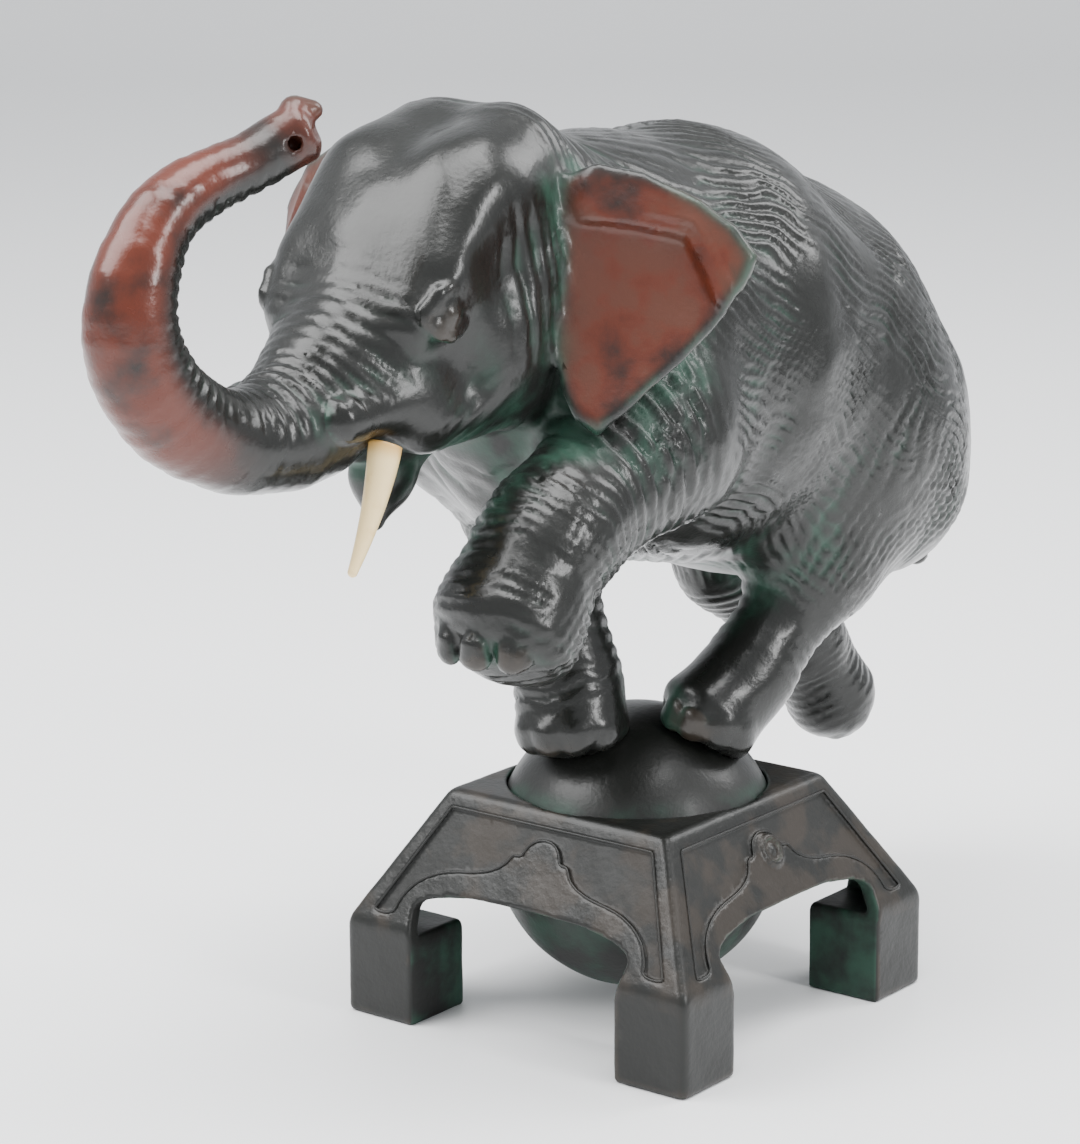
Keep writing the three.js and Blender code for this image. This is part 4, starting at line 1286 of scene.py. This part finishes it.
@dataclass(frozen=True)
class Stand:
    """The square stand with sloping faces, four legs and a low arch on each side.

    Attributes:
        half: Half its width at the foot of the slopes.
        top_half: Half its width at the top.
        leg_height: Height of the foot of the slopes.
        height: Its whole height.
        leg_width: Width of a leg.
        wall: Thickness of the sloping walls.
        leg_wall: Thickness of the upright walls, in shares of the sloping ones.
        arch_rise: Height of an arch in the middle.
        arch_shoulder: Height of its shoulders.
        panel_depth: How far the sunk fields lie below their border.
        panel_border: Width of that border.
        arris: Rounding of the four slanting edges.
        face_edge: Rounding between slopes and legs.
        top_edge: Rounding of the top.
        foot_edge: Rounding of the legs' feet.
        inner_edge: Rounding of the hollow and the arches.
        seat_edge: Rounding of the ball's seat.
        boss: Half width and half height of the oval boss.
        boss_place: Its middle, across and up the slope.
        uneven: Heights of the broad and fine unevenness of the casting.
        settle: Furthest that a vertex moves in one pass onto the exact surface.
        step: Distance between the grid points that it is meshed from.
        most: Greatest number of triangles.
    """

    half: float = 60.0
    top_half: float = 38.6
    leg_height: float = 28.1
    height: float = 65.9
    leg_width: float = 24.0
    wall: float = 4.2
    leg_wall: float = 1.15
    arch_rise: float = 40.1
    arch_shoulder: float = 34.5
    panel_depth: float = 1.0
    panel_border: float = 4.0
    arris: float = 2.4
    face_edge: float = 1.2
    top_edge: float = 2.0
    foot_edge: float = 1.6
    inner_edge: float = 1.0
    seat_edge: float = 0.8
    boss: tuple[float, float] = (4.6, 4.8)
    boss_place: tuple[float, float] = (1.6, 28.5)
    uneven: tuple[float, float] = (0.08, 0.04)
    settle: float = 0.4
    step: float = 0.85
    most: int = 110000

    @property
    def lean(self) -> float:
        """Return the angle between a sloping face and the upright."""
        return math.atan2(self.half - self.top_half, self.height - self.leg_height)

    def arch_outline(self) -> list[tuple[float, float]]:
        """Return the outline of the gap between two legs: across and up."""
        leg = self.half - self.leg_width
        right = [(leg, -8.0), (leg, self.leg_height - 4), (leg + 2, self.arch_shoulder - 1)]
        right += bezier([right[-1], (leg + 2, 37.6), (27, 38.9), (18, self.arch_rise - 0.2)], 10)
        right += bezier([right[-1], (9, 40.1), (4, 40.1), (0, self.arch_rise)], 4)
        return right + [(-a, b) for a, b in reversed(right[:-1])]

    def field_outline(self) -> list[tuple[float, float]]:
        """Return the outline of a face's sunk field: across and up the slope."""
        slope = math.hypot(self.height - self.leg_height, self.half - self.top_half)
        right = bezier([(0, 34.6), (3, 34.6), (5.6, 33), (6.6, 29.2)], 6)
        right += bezier([right[-1], (7.6, 28.2), (9.4, 29.2), (10, 28.0)], 4)
        right += bezier([right[-1], (12, 23.5), (17, 21.6), (26, 20.4)], 8)
        right += bezier([right[-1], (37, 18.6), (43, 13), (44, 5.5)], 10)
        right += bezier([right[-1], (45, 3.9), (49, 3.8), (51, 4.6)], 5)
        right.append((self.top_half - self.panel_border + 0.8, slope - self.panel_border - 1.2))
        return [(0.0, 34.6), *right, *[(-a, b) for a, b in reversed(right)]]

    def distance(self, points: Array, arch: Table, fields: Table) -> Array:
        """Measure the distance to the stand.

        Args:
            points: Places, one row each.
            arch: The outline of the arches.
            fields: The outline of the sunk fields.

        Returns:
            Distances, negative inside the metal.
        """
        cos, sin = math.cos(self.lean), math.sin(self.lean)
        z = points[:, 2]
        up = z - self.leg_height
        outside, inside = [], []
        for axis, sign in ((0, 1), (0, -1), (1, 1), (1, -1)):
            across, out = points[:, 1 - axis], points[:, axis] * sign - self.half
            rise = up * cos - out * sin
            face = out * cos + up * sin
            inside += [face + self.wall, out + self.wall * self.leg_wall]
            face = face + self.panel_depth * smooth(-fields.at(across, rise), -0.5, 0.7)
            if axis == 0 and sign == 1:
                face = face - self.boss_height(across, rise)
            outside.append(-melt(-face, -out, self.face_edge))
        pairs = [np.maximum(*outside[:2]), np.maximum(*outside[2:])]
        solid = -melt(-pairs[0], -pairs[1], self.arris)
        solid = -melt(-solid, self.height - z, self.top_edge)
        solid = -melt(-solid, z, self.foot_edge)
        hollow = np.maximum.reduce(inside)
        hollow = np.maximum(hollow, np.maximum(-up - 2, z - self.height + self.wall))
        solid = -melt(-solid, hollow, self.inner_edge)
        for axis in (0, 1):
            solid = -melt(-solid, arch.at(points[:, axis], z), self.inner_edge)
        ball = Ball()
        reach = np.linalg.norm(points - (0, 0, ball.height), axis=1) - ball.radius - ball.fit
        return -melt(-solid, reach, self.seat_edge)

    def boss_height(self, across: Array, up: Array) -> Array:
        """Return how far the oval boss stands out of its face.

        Args:
            across: How far across the face each place lies.
            up: How far up the slope it lies.

        Returns:
            The heights in millimetres.
        """
        u = (across - self.boss_place[0]) / self.boss[0]
        v = (up - self.boss_place[1]) / self.boss[1]
        r = np.sqrt(u * u + v * v)
        ring = 1.1 * smooth(r, 1.15, 0.85) - 0.9 * smooth(r, 0.78, 0.6)
        return ring + 0.8 * smooth(r, 0.55, 0.0)

    def build(self, place: Placement) -> bpy.types.Object:
        """Mesh the stand and work out its masks.

        Args:
            place: Where the middle of the stand is.

        Returns:
            The finished object.
        """
        arch, fields = Table(self.arch_outline()), Table(self.field_outline())
        grid = Field((-63, -63, -3), (63, 63, 69), self.step)
        axes = [grid.low[i] + grid.step * np.arange(grid.size[i]) for i in range(3)]
        y, z = np.meshgrid(axes[1], axes[2], indexing="ij")
        for i, x in enumerate(axes[0]):
            rows = np.stack([np.full(y.size, x), y.ravel(), z.ravel()], 1)
            grid.values[i] = self.distance(rows, arch, fields).reshape(y.shape)
        mesh = grid.surface()

        def measure(points: Array) -> Array:
            """Measure the distance to the stand."""
            return self.distance(points, arch, fields)

        for _ in range(3):
            shift = np.clip(measure(mesh.points), -self.settle, self.settle)
            mesh.points = mesh.points - gradient(measure, mesh.points, 0.2) * shift[:, None]
        normal = gradient(measure, mesh.points, 0.3)
        uneven = self.uneven[0] * Noise(31).at(mesh.points, 7)
        uneven = uneven + self.uneven[1] * Noise(33).at(mesh.points, 2.5)
        mesh.values = self.masks(mesh.points, normal, measure, fields)
        mesh.points = mesh.points + normal * uneven[:, None]
        mesh.points[:, 2] = np.maximum(mesh.points[:, 2], 0.0)
        return object_from("stand_casting", mesh, place, self.most)

    def masks(
        self, points: Array, normal: Array, measure: Callable[[Array], Array], fields: Table
    ) -> dict[str, Array]:
        """Work out where the stand is green, worn and matt.

        Args:
            points: Places on the surface.
            normal: Outward directions there.
            measure: The distance to the stand.
            fields: The outline of the sunk fields.

        Returns:
            The masks by name, each from 0 to 1.
        """
        cover = np.zeros(len(points))
        for reach in (3.0, 9.0):
            cover += np.clip(1.0 - measure(points + normal * reach) / reach, 0, 1) / 2
        bare = np.clip(1.0 + measure(points - normal * 3.0) / 3.0, 0, 1)
        inner = smooth((points[:, :2] * normal[:, :2]).sum(1), 4, -12)
        under = smooth(normal[:, 2], -0.2, -0.7) * (points[:, 2] > 5)
        sunk = np.zeros(len(points))
        up = points[:, 2] - self.leg_height
        for axis in (0, 1):
            out = np.abs(points[:, axis]) - self.half
            rise = up * math.cos(self.lean) - out * math.sin(self.lean)
            outer = smooth(points[:, axis] * normal[:, axis], 10, 25)
            inside = smooth(-fields.at(points[:, 1 - axis], rise), -0.4, 0.8)
            sunk = np.maximum(sunk, inside * outer)
        return {
            "hollow": np.clip(0.8 * cover + inner + under, 0, 1),
            "worn": np.clip(bare * 1.5, 0, 1) * (1 - inner),
            "ruddy": np.zeros(len(points)),
            "sunk": sunk,
        }


@dataclass(frozen=True)
class Bead:
    """A thin raised bead round each sunk field, swept along its outline by Geometry Nodes.

    Attributes:
        stand: The stand that carries it.
        radius: Its radius.
        spacing: Distance between the rings that it is made of.
        sunk_by: How far its middle line lies below the face.
        sides: Number of faces of the stand that have one.
    """

    stand: Stand
    radius: float = 0.42
    spacing: float = 0.8
    sunk_by: float = 0.12
    sides: int = 4

    def path(self) -> bpy.types.Object:
        """Return the outline of the +X face's field as a closed line of edges."""
        cos, sin = math.cos(self.stand.lean), math.sin(self.stand.lean)
        foot, base = self.stand.half - self.sunk_by, self.stand.leg_height
        spots = [
            ((foot - up * sin) * MM, across * MM, (base + up * cos) * MM)
            for across, up in self.stand.field_outline()
        ]
        data = bpy.data.meshes.new("bead_path")
        edges = [(i, (i + 1) % len(spots)) for i in range(len(spots))]
        data.from_pydata(spots, edges, [])
        return link(bpy.data.objects.new("stand_bead", data))

    def group(self) -> tuple[bpy.types.NodeTree, dict[str, str]]:
        """Build the node group: sweep the path, then copy it round a centre.

        Returns:
            The group and the identifiers of its inputs by name.
        """
        tree = bpy.data.node_groups.new("Swept bead", "GeometryNodeTree")
        ids = {}
        for name, kind in (
            ("Geometry", "Geometry"), ("Radius", "Float"), ("Spacing", "Float"),
            ("Copies", "Int"), ("Centre", "Vector"), ("Material", "Material"),
        ):
            socket = tree.interface.new_socket(
                name=name, in_out="INPUT", socket_type=f"NodeSocket{kind}"
            )
            ids[name] = socket.identifier
        tree.interface.new_socket(
            name="Geometry", in_out="OUTPUT", socket_type="NodeSocketGeometry"
        )
        new, wire = tree.nodes.new, tree.links.new
        source, sink = new("NodeGroupInput"), new("NodeGroupOutput")
        curve, even = new("GeometryNodeMeshToCurve"), new("GeometryNodeResampleCurve")
        even.mode = "LENGTH"
        profile, sweep = new("GeometryNodeCurvePrimitiveCircle"), new("GeometryNodeCurveToMesh")
        profile.inputs["Resolution"].default_value = 8
        points, copies = new("GeometryNodePoints"), new("GeometryNodeInstanceOnPoints")
        index, step = new("GeometryNodeInputIndex"), new("ShaderNodeMath")
        share, turn = new("ShaderNodeMath"), new("ShaderNodeCombineXYZ")
        share.operation, step.operation = "DIVIDE", "MULTIPLY"
        share.inputs[0].default_value = 2 * math.pi
        realize, paint = new("GeometryNodeRealizeInstances"), new("GeometryNodeSetMaterial")
        wire(source.outputs["Geometry"], curve.inputs["Mesh"])
        wire(curve.outputs[0], even.inputs["Curve"])
        wire(source.outputs["Spacing"], even.inputs["Length"])
        wire(even.outputs[0], sweep.inputs["Curve"])
        wire(source.outputs["Radius"], profile.inputs["Radius"])
        wire(profile.outputs[0], sweep.inputs["Profile Curve"])
        wire(source.outputs["Copies"], points.inputs["Count"])
        wire(source.outputs["Centre"], points.inputs["Position"])
        wire(source.outputs["Copies"], share.inputs[1])
        wire(index.outputs[0], step.inputs[0])
        wire(share.outputs[0], step.inputs[1])
        wire(step.outputs[0], turn.inputs["Z"])
        wire(points.outputs[0], copies.inputs["Points"])
        wire(sweep.outputs[0], copies.inputs["Instance"])
        wire(turn.outputs[0], copies.inputs["Rotation"])
        wire(copies.outputs[0], realize.inputs[0])
        wire(realize.outputs[0], paint.inputs["Geometry"])
        wire(source.outputs["Material"], paint.inputs["Material"])
        wire(paint.outputs[0], sink.inputs[0])
        return tree, ids

    def build(self, place: Placement, material: bpy.types.Material) -> bpy.types.Object:
        """Sweep the bead round all four fields.

        Args:
            place: Where the middle of the stand is.
            material: The stand's material.

        Returns:
            The beads as one plain mesh.
        """
        obj = self.path()
        tree, ids = self.group()
        modifier = obj.modifiers.new("bead", "NODES")
        modifier.node_group = tree
        modifier[ids["Radius"]] = self.radius * MM
        modifier[ids["Spacing"]] = self.spacing * MM
        modifier[ids["Copies"]] = self.sides
        modifier[ids["Centre"]] = tuple(place.centre)
        modifier[ids["Material"]] = material
        bake(obj)
        for name, value in (("hollow", 0.0), ("worn", 0.6), ("ruddy", 0.0), ("sunk", 0.0)):
            add_value(obj.data, name, np.full(len(obj.data.vertices), value))
        smooth_faces(obj)
        return obj


def join(first: bpy.types.Object, second: bpy.types.Object) -> bpy.types.Object:
    """Join the second object into the first and return it.

    Args:
        first: The object that stays.
        second: The object that goes into it.

    Returns:
        The joined object.
    """
    both = [first, second]
    with bpy.context.temp_override(
        active_object=first, object=first, selected_editable_objects=both, selected_objects=both
    ):
        bpy.ops.object.join()
    return first


class Nodes:
    """Short ways of adding and linking shader nodes."""

    def __init__(self, tree: bpy.types.NodeTree) -> None:
        """Work on one node tree."""
        self.tree = tree

    def feed(self, socket: bpy.types.NodeSocket, value: object) -> None:
        """Link an output to a socket, or set the socket's value.

        Args:
            socket: The socket to feed.
            value: An output socket or a plain value.
        """
        if isinstance(value, bpy.types.NodeSocket):
            self.tree.links.new(value, socket)
        else:
            socket.default_value = value

    def add(self, kind: str, **inputs: object) -> bpy.types.Node:
        """Add a node and fill its inputs with values or links.

        Args:
            kind: Blender's name of the node.
            inputs: Values or outputs by the name of the input.

        Returns:
            The node.
        """
        node = self.tree.nodes.new(kind)
        for key, value in inputs.items():
            self.feed(node.inputs[key], value)
        return node

    def attribute(self, name: str) -> bpy.types.NodeSocket:
        """Return the value of one of the mesh's own masks.

        Args:
            name: Name of the mask.

        Returns:
            The socket that gives it.
        """
        node = self.tree.nodes.new("ShaderNodeAttribute")
        node.attribute_name = name
        return node.outputs["Fac"]

    def math(self, how: str, a: object, b: object) -> bpy.types.NodeSocket:
        """Return the result of a sum.

        Args:
            how: Blender's name of the sum.
            a: First value or socket.
            b: Second value or socket.

        Returns:
            The socket of the result.
        """
        node = self.tree.nodes.new("ShaderNodeMath")
        node.operation = how
        self.feed(node.inputs[0], a)
        self.feed(node.inputs[1], b)
        return node.outputs[0]

    def mix(self, share: object, a: object, b: object) -> bpy.types.NodeSocket:
        """Return a colour between two.

        Args:
            share: How much of the second colour.
            a: First colour.
            b: Second colour.

        Returns:
            The socket of the colour.
        """
        node = self.tree.nodes.new("ShaderNodeMix")
        node.data_type = "RGBA"
        for index, value in ((0, share), (6, a), (7, b)):
            self.feed(node.inputs[index], value)
        return node.outputs[2]

    def ramp(self, value: object, low: float, high: float) -> bpy.types.NodeSocket:
        """Return 0 to 1 as the value goes from low to high.

        Args:
            value: The value or socket.
            low: Where the result is 0.
            high: Where it is 1.

        Returns:
            The socket of the result.
        """
        node = self.tree.nodes.new("ShaderNodeMapRange")
        node.interpolation_type = "SMOOTHSTEP"
        self.feed(node.inputs["Value"], value)
        node.inputs["From Min"].default_value = low
        node.inputs["From Max"].default_value = high
        return node.outputs["Result"]


def cast_surface() -> bpy.types.NodeTree:
    """Build the shared group that gives the mottling and the fine pitting of cast metal.

    Returns:
        The group.
    """
    tree = bpy.data.node_groups.new("Cast surface", "ShaderNodeTree")
    for name in ("Mottle", "Pits"):
        tree.interface.new_socket(name=name, in_out="OUTPUT", socket_type="NodeSocketFloat")
    nodes = Nodes(tree)
    sink = tree.nodes.new("NodeGroupOutput")
    place = nodes.add("ShaderNodeTexCoord").outputs["Object"]
    broad = nodes.add("ShaderNodeTexNoise", Vector=place, Scale=70.0, Detail=5.0)
    fine = nodes.add("ShaderNodeTexNoise", Vector=place, Scale=700.0, Detail=3.0)
    nodes.feed(sink.inputs["Mottle"], broad.outputs[0])
    nodes.feed(sink.inputs["Pits"], fine.outputs[0])
    return tree


Colour = tuple[float, float, float, float]


@dataclass(frozen=True)
class Bronze:
    """Dark patinated bronze under wax, green in its hollows and red-brown where rubbed.

    Attributes:
        name: Name of the material.
        dark: Colour of the patina.
        green: Colour of the hollows.
        red: Colour of the ruddy parts.
        rubbed: Colour of worn ridges.
        gloss: Roughness of the waxed surface.
        green_share: How strongly the hollows turn green.
        sunk: Whether the mesh carries the mask of the matt fields.
        coat: Weight of the wax.
        coat_roughness: Roughness of the wax.
        metallic: How much bare metal shows through the patina.
        specular: Strength of the patina's own reflection.
        rubbed_share: How strongly worn ridges turn to the rubbed colour.
        hollow_roughness: How much rougher the hollows are.
        sunk_roughness: How much rougher the matt fields are.
        pit_strength: Strength of the fine pitting.
        pit_depth: Depth of the fine pitting in metres.
    """

    name: str
    dark: Colour = (0.0075, 0.008, 0.007, 1)
    green: Colour = (0.02, 0.06, 0.04, 1)
    red: Colour = (0.085, 0.016, 0.007, 1)
    rubbed: Colour = (0.05, 0.035, 0.024, 1)
    gloss: float = 0.24
    green_share: float = 0.9
    sunk: bool = False
    coat: float = 0.14
    coat_roughness: float = 0.16
    metallic: float = 0.1
    specular: float = 0.36
    rubbed_share: float = 0.35
    hollow_roughness: float = 0.25
    sunk_roughness: float = 0.14
    pit_strength: float = 0.35
    pit_depth: float = 0.0003

    def material(self, surface: bpy.types.NodeTree) -> bpy.types.Material:
        """Build the material from the shared group of mottling and pits.

        Args:
            surface: The shared group.

        Returns:
            The material.
        """
        made = bpy.data.materials.new(self.name)
        made.use_nodes = True
        tree = made.node_tree
        nodes = Nodes(tree)
        shader = tree.nodes["Principled BSDF"]
        cast = tree.nodes.new("ShaderNodeGroup")
        cast.node_tree = surface
        mottle, hollow = cast.outputs["Mottle"], nodes.attribute("hollow")
        patches = nodes.ramp(mottle, 0.38, 0.66)
        deep = nodes.math("MULTIPLY", nodes.ramp(hollow, 0.12, 0.7), patches)
        deep = nodes.math("MULTIPLY", deep, self.green_share)
        red = nodes.math("MULTIPLY", nodes.attribute("ruddy"), nodes.ramp(mottle, 0.2, 0.55))
        bare = nodes.ramp(nodes.attribute("worn"), 0.3, 0.95)
        bare = nodes.math("MULTIPLY", bare, nodes.ramp(mottle, 0.45, 0.6))
        colour = nodes.mix(deep, self.dark, self.green)
        colour = nodes.mix(red, colour, self.red)
        bare = nodes.math("MULTIPLY", bare, self.rubbed_share)
        colour = nodes.mix(bare, colour, self.rubbed)
        rough = nodes.math("ADD", self.gloss - 0.08, nodes.math("MULTIPLY", mottle, 0.2))
        rough = nodes.math("ADD", rough, nodes.math("MULTIPLY", hollow, self.hollow_roughness))
        if self.sunk:
            matt = nodes.math("MULTIPLY", nodes.attribute("sunk"), self.sunk_roughness)
            rough = nodes.math("ADD", rough, matt)
        pits = cast.outputs["Pits"]
        bump = nodes.add(
            "ShaderNodeBump", Strength=self.pit_strength, Distance=self.pit_depth, Height=pits
        )
        nodes.feed(shader.inputs["Base Color"], colour)
        nodes.feed(shader.inputs["Roughness"], rough)
        nodes.feed(shader.inputs["Normal"], bump.outputs["Normal"])
        shader.inputs["Metallic"].default_value = self.metallic
        shader.inputs["Specular IOR Level"].default_value = self.specular
        shader.inputs["Coat Weight"].default_value = self.coat
        shader.inputs["Coat Roughness"].default_value = self.coat_roughness
        return made


@dataclass(frozen=True)
class Ivory:
    """Polished ivory-coloured inlay, browner at the root.

    Attributes:
        pale: Its main colour.
        warm: The colour at the root and in the grain.
        roughness: Roughness of the polish.
        coat: Weight of the glossy coat.
        grain: How strongly the grain shows.
    """

    pale: Colour = (0.86, 0.66, 0.33, 1)
    warm: Colour = (0.62, 0.36, 0.10, 1)
    roughness: float = 0.38
    coat: float = 0.2
    grain: float = 0.35

    def material(self) -> bpy.types.Material:
        """Build the material.

        Returns:
            The material.
        """
        made = bpy.data.materials.new("tusk_ivory")
        made.use_nodes = True
        nodes = Nodes(made.node_tree)
        shader = made.node_tree.nodes["Principled BSDF"]
        place = nodes.add("ShaderNodeTexCoord").outputs["Object"]
        grain = nodes.add("ShaderNodeTexNoise", Vector=place, Scale=260.0, Detail=4.0)
        tint = nodes.math("MULTIPLY", nodes.ramp(grain.outputs[0], 0.45, 0.8), self.grain)
        root = nodes.ramp(nodes.attribute("share"), 0.14, 0.0)
        colour = nodes.mix(nodes.math("MAXIMUM", root, tint), self.pale, self.warm)
        nodes.feed(shader.inputs["Base Color"], colour)
        shader.inputs["Roughness"].default_value = self.roughness
        shader.inputs["Coat Weight"].default_value = self.coat
        return made


@dataclass(frozen=True)
class Lamp:
    """A soft area light: place round the object in degrees, distance, size and watts."""

    name: str
    azimuth: float
    elevation: float
    away: float
    size: tuple[float, float]
    power: float


@dataclass(frozen=True)
class Studio:
    """Camera, lights and floor. The camera's place and directions are in the stand's frame.

    Attributes:
        spot: The camera's place in millimetres.
        right: Direction of its right-hand side.
        up: Direction of its upper side.
        back: Direction that it looks away from.
        lens: Focal length in millimetres.
        sensor: Width of its sensor in millimetres.
        aim: Where the lamps point, from the middle of the stand, in metres.
        sky: Colour of the surroundings.
        sky_strength: Their strength.
        paper: Colour of the floor.
        paper_roughness: Its roughness.
        sweep: Radius of the floor's upward curve in metres.
        sweep_start: Where the curve starts behind the object.
        front: How far the floor reaches forward.
        wall_top: Height at which the floor's upright part ends.
        half_width: Half the floor's width.
        steps: Number of lines in the curve.
        lamps: The area lights.
    """

    spot: Point = (603.69, -821.78, 374.25)
    right: Point = (0.79028, 0.61272, -0.00522)
    up: Point = (-0.14006, 0.18893, 0.97195)
    back: Point = (0.59652, -0.76739, 0.23513)
    lens: float = 115.85
    sensor: float = 36.0
    aim: Point = (0, -0.02, 0.15)
    sky: Colour = (0.95, 0.97, 1.0, 1)
    sky_strength: float = 1.05
    paper: Colour = (0.86, 0.865, 0.87, 1)
    paper_roughness: float = 0.42
    sweep: float = 1.2
    sweep_start: float = 2.6
    front: float = 3.0
    wall_top: float = 5.0
    half_width: float = 4.0
    steps: int = 24
    lamps: tuple[Lamp, ...] = (
        Lamp("key", -40, 48, 1.5, (1.1, 1.1), 40),
        Lamp("top", 60, 82, 1.3, (0.9, 0.9), 30),
        Lamp("strip", 92, 24, 1.2, (0.16, 0.5), 8),
        Lamp("rim", 150, 40, 1.5, (0.5, 0.8), 12),
    )

    def camera(self, place: Placement) -> None:
        """Add the camera.

        Args:
            place: Where the middle of the stand is.
        """
        data = bpy.data.cameras.new("camera")
        data.lens = self.lens
        data.sensor_width = self.sensor
        obj = link(bpy.data.objects.new("camera", data))
        turn = Matrix((self.right, self.up, self.back)).transposed()
        spot = Vector(place.world(np.array(self.spot)))
        obj.matrix_world = Matrix.Translation(spot) @ turn.to_4x4()
        bpy.context.scene.camera = obj

    def lights(self, place: Placement) -> None:
        """Add the area lights and the pale surroundings.

        Args:
            place: Where the middle of the stand is.
        """
        target = place.centre + Vector(self.aim)
        for lamp in self.lamps:
            data = bpy.data.lights.new(lamp.name, "AREA")
            data.shape = "RECTANGLE"
            data.size, data.size_y = lamp.size
            data.energy = lamp.power
            obj = link(bpy.data.objects.new(lamp.name, data))
            a, e = math.radians(lamp.azimuth), math.radians(lamp.elevation)
            way = Vector((math.sin(a) * math.cos(e), -math.cos(a) * math.cos(e), math.sin(e)))
            obj.location = target + way * lamp.away
            obj.rotation_euler = way.to_track_quat("Z", "Y").to_euler()
        world = bpy.data.worlds.new("surroundings")
        world.use_nodes = True
        sky = world.node_tree.nodes["Background"]
        sky.inputs["Color"].default_value = self.sky
        sky.inputs["Strength"].default_value = self.sky_strength
        bpy.context.scene.world = world

    def floor(self, place: Placement) -> None:
        """Make the paper sweep: a floor that curves up behind the object.

        Args:
            place: Where the middle of the stand is.
        """
        radius, far = self.sweep, self.sweep_start
        profile = [(-self.front, 0.0)]
        for a in np.linspace(0, math.pi / 2, self.steps):
            profile.append((far + radius * math.sin(a), radius * (1 - math.cos(a))))
        profile.append((far + radius, self.wall_top))
        away = Vector((-self.back[0], -self.back[1], 0)).normalized()
        side = Vector((away.y, -away.x, 0))
        points = []
        for run, rise in profile:
            middle = place.centre + away * run + Vector((0, 0, rise))
            points += [tuple(middle + side * s * self.half_width) for s in (-1, 1)]
        faces = [(2 * i, 2 * i + 1, 2 * i + 3, 2 * i + 2) for i in range(len(profile) - 1)]
        data = bpy.data.meshes.new("floor")
        data.from_pydata(points, [], faces)
        obj = link(bpy.data.objects.new("floor", data))
        smooth_faces(obj)
        paper = bpy.data.materials.new("studio_paper")
        paper.use_nodes = True
        shader = paper.node_tree.nodes["Principled BSDF"]
        shader.inputs["Base Color"].default_value = self.paper
        shader.inputs["Roughness"].default_value = self.paper_roughness
        data.materials.append(paper)


def hand_over(obj: bpy.types.Object, material: bpy.types.Material, node: str) -> None:
    """Paint a piece and hand it to the frame.

    Args:
        obj: The piece.
        material: Its material.
        node: The CAD node that it stands for.
    """
    obj.data.materials.clear()
    obj.data.materials.append(material)
    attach(obj, "root")
    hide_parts(node)
    log.info("%s: %d triangles for %s", obj.name, len(obj.data.polygons), node)


def main() -> None:
    """Build every piece in the frame, then the studio."""
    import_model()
    place = Placement.of_stand()
    surface = cast_surface()
    skin = Bronze("elephant_bronze").material(surface)
    plain = Bronze("ball_bronze", gloss=0.34, coat=0.05, green_share=0.6).material(surface)
    satin = Bronze("stand_bronze", gloss=0.34, coat=0.05, sunk=True).material(surface)
    ball, tusk = Ball(), Tusk()
    elephant = Elephant()
    stand = Stand()
    hand_over(elephant.build(place, ball, tusk), skin, "elephant")
    hand_over(ball.build(place), plain, "ball")
    hand_over(tusk.build(place), Ivory().material(), "tusk_left")
    casting = join(stand.build(place), Bead(stand).build(place, satin))
    hand_over(casting, satin, "stand")
    studio = Studio()
    studio.camera(place)
    studio.lights(place)
    studio.floor(place)


if __name__ == "__main__":
    logging.basicConfig(level=logging.INFO, format="%(message)s")
    main()
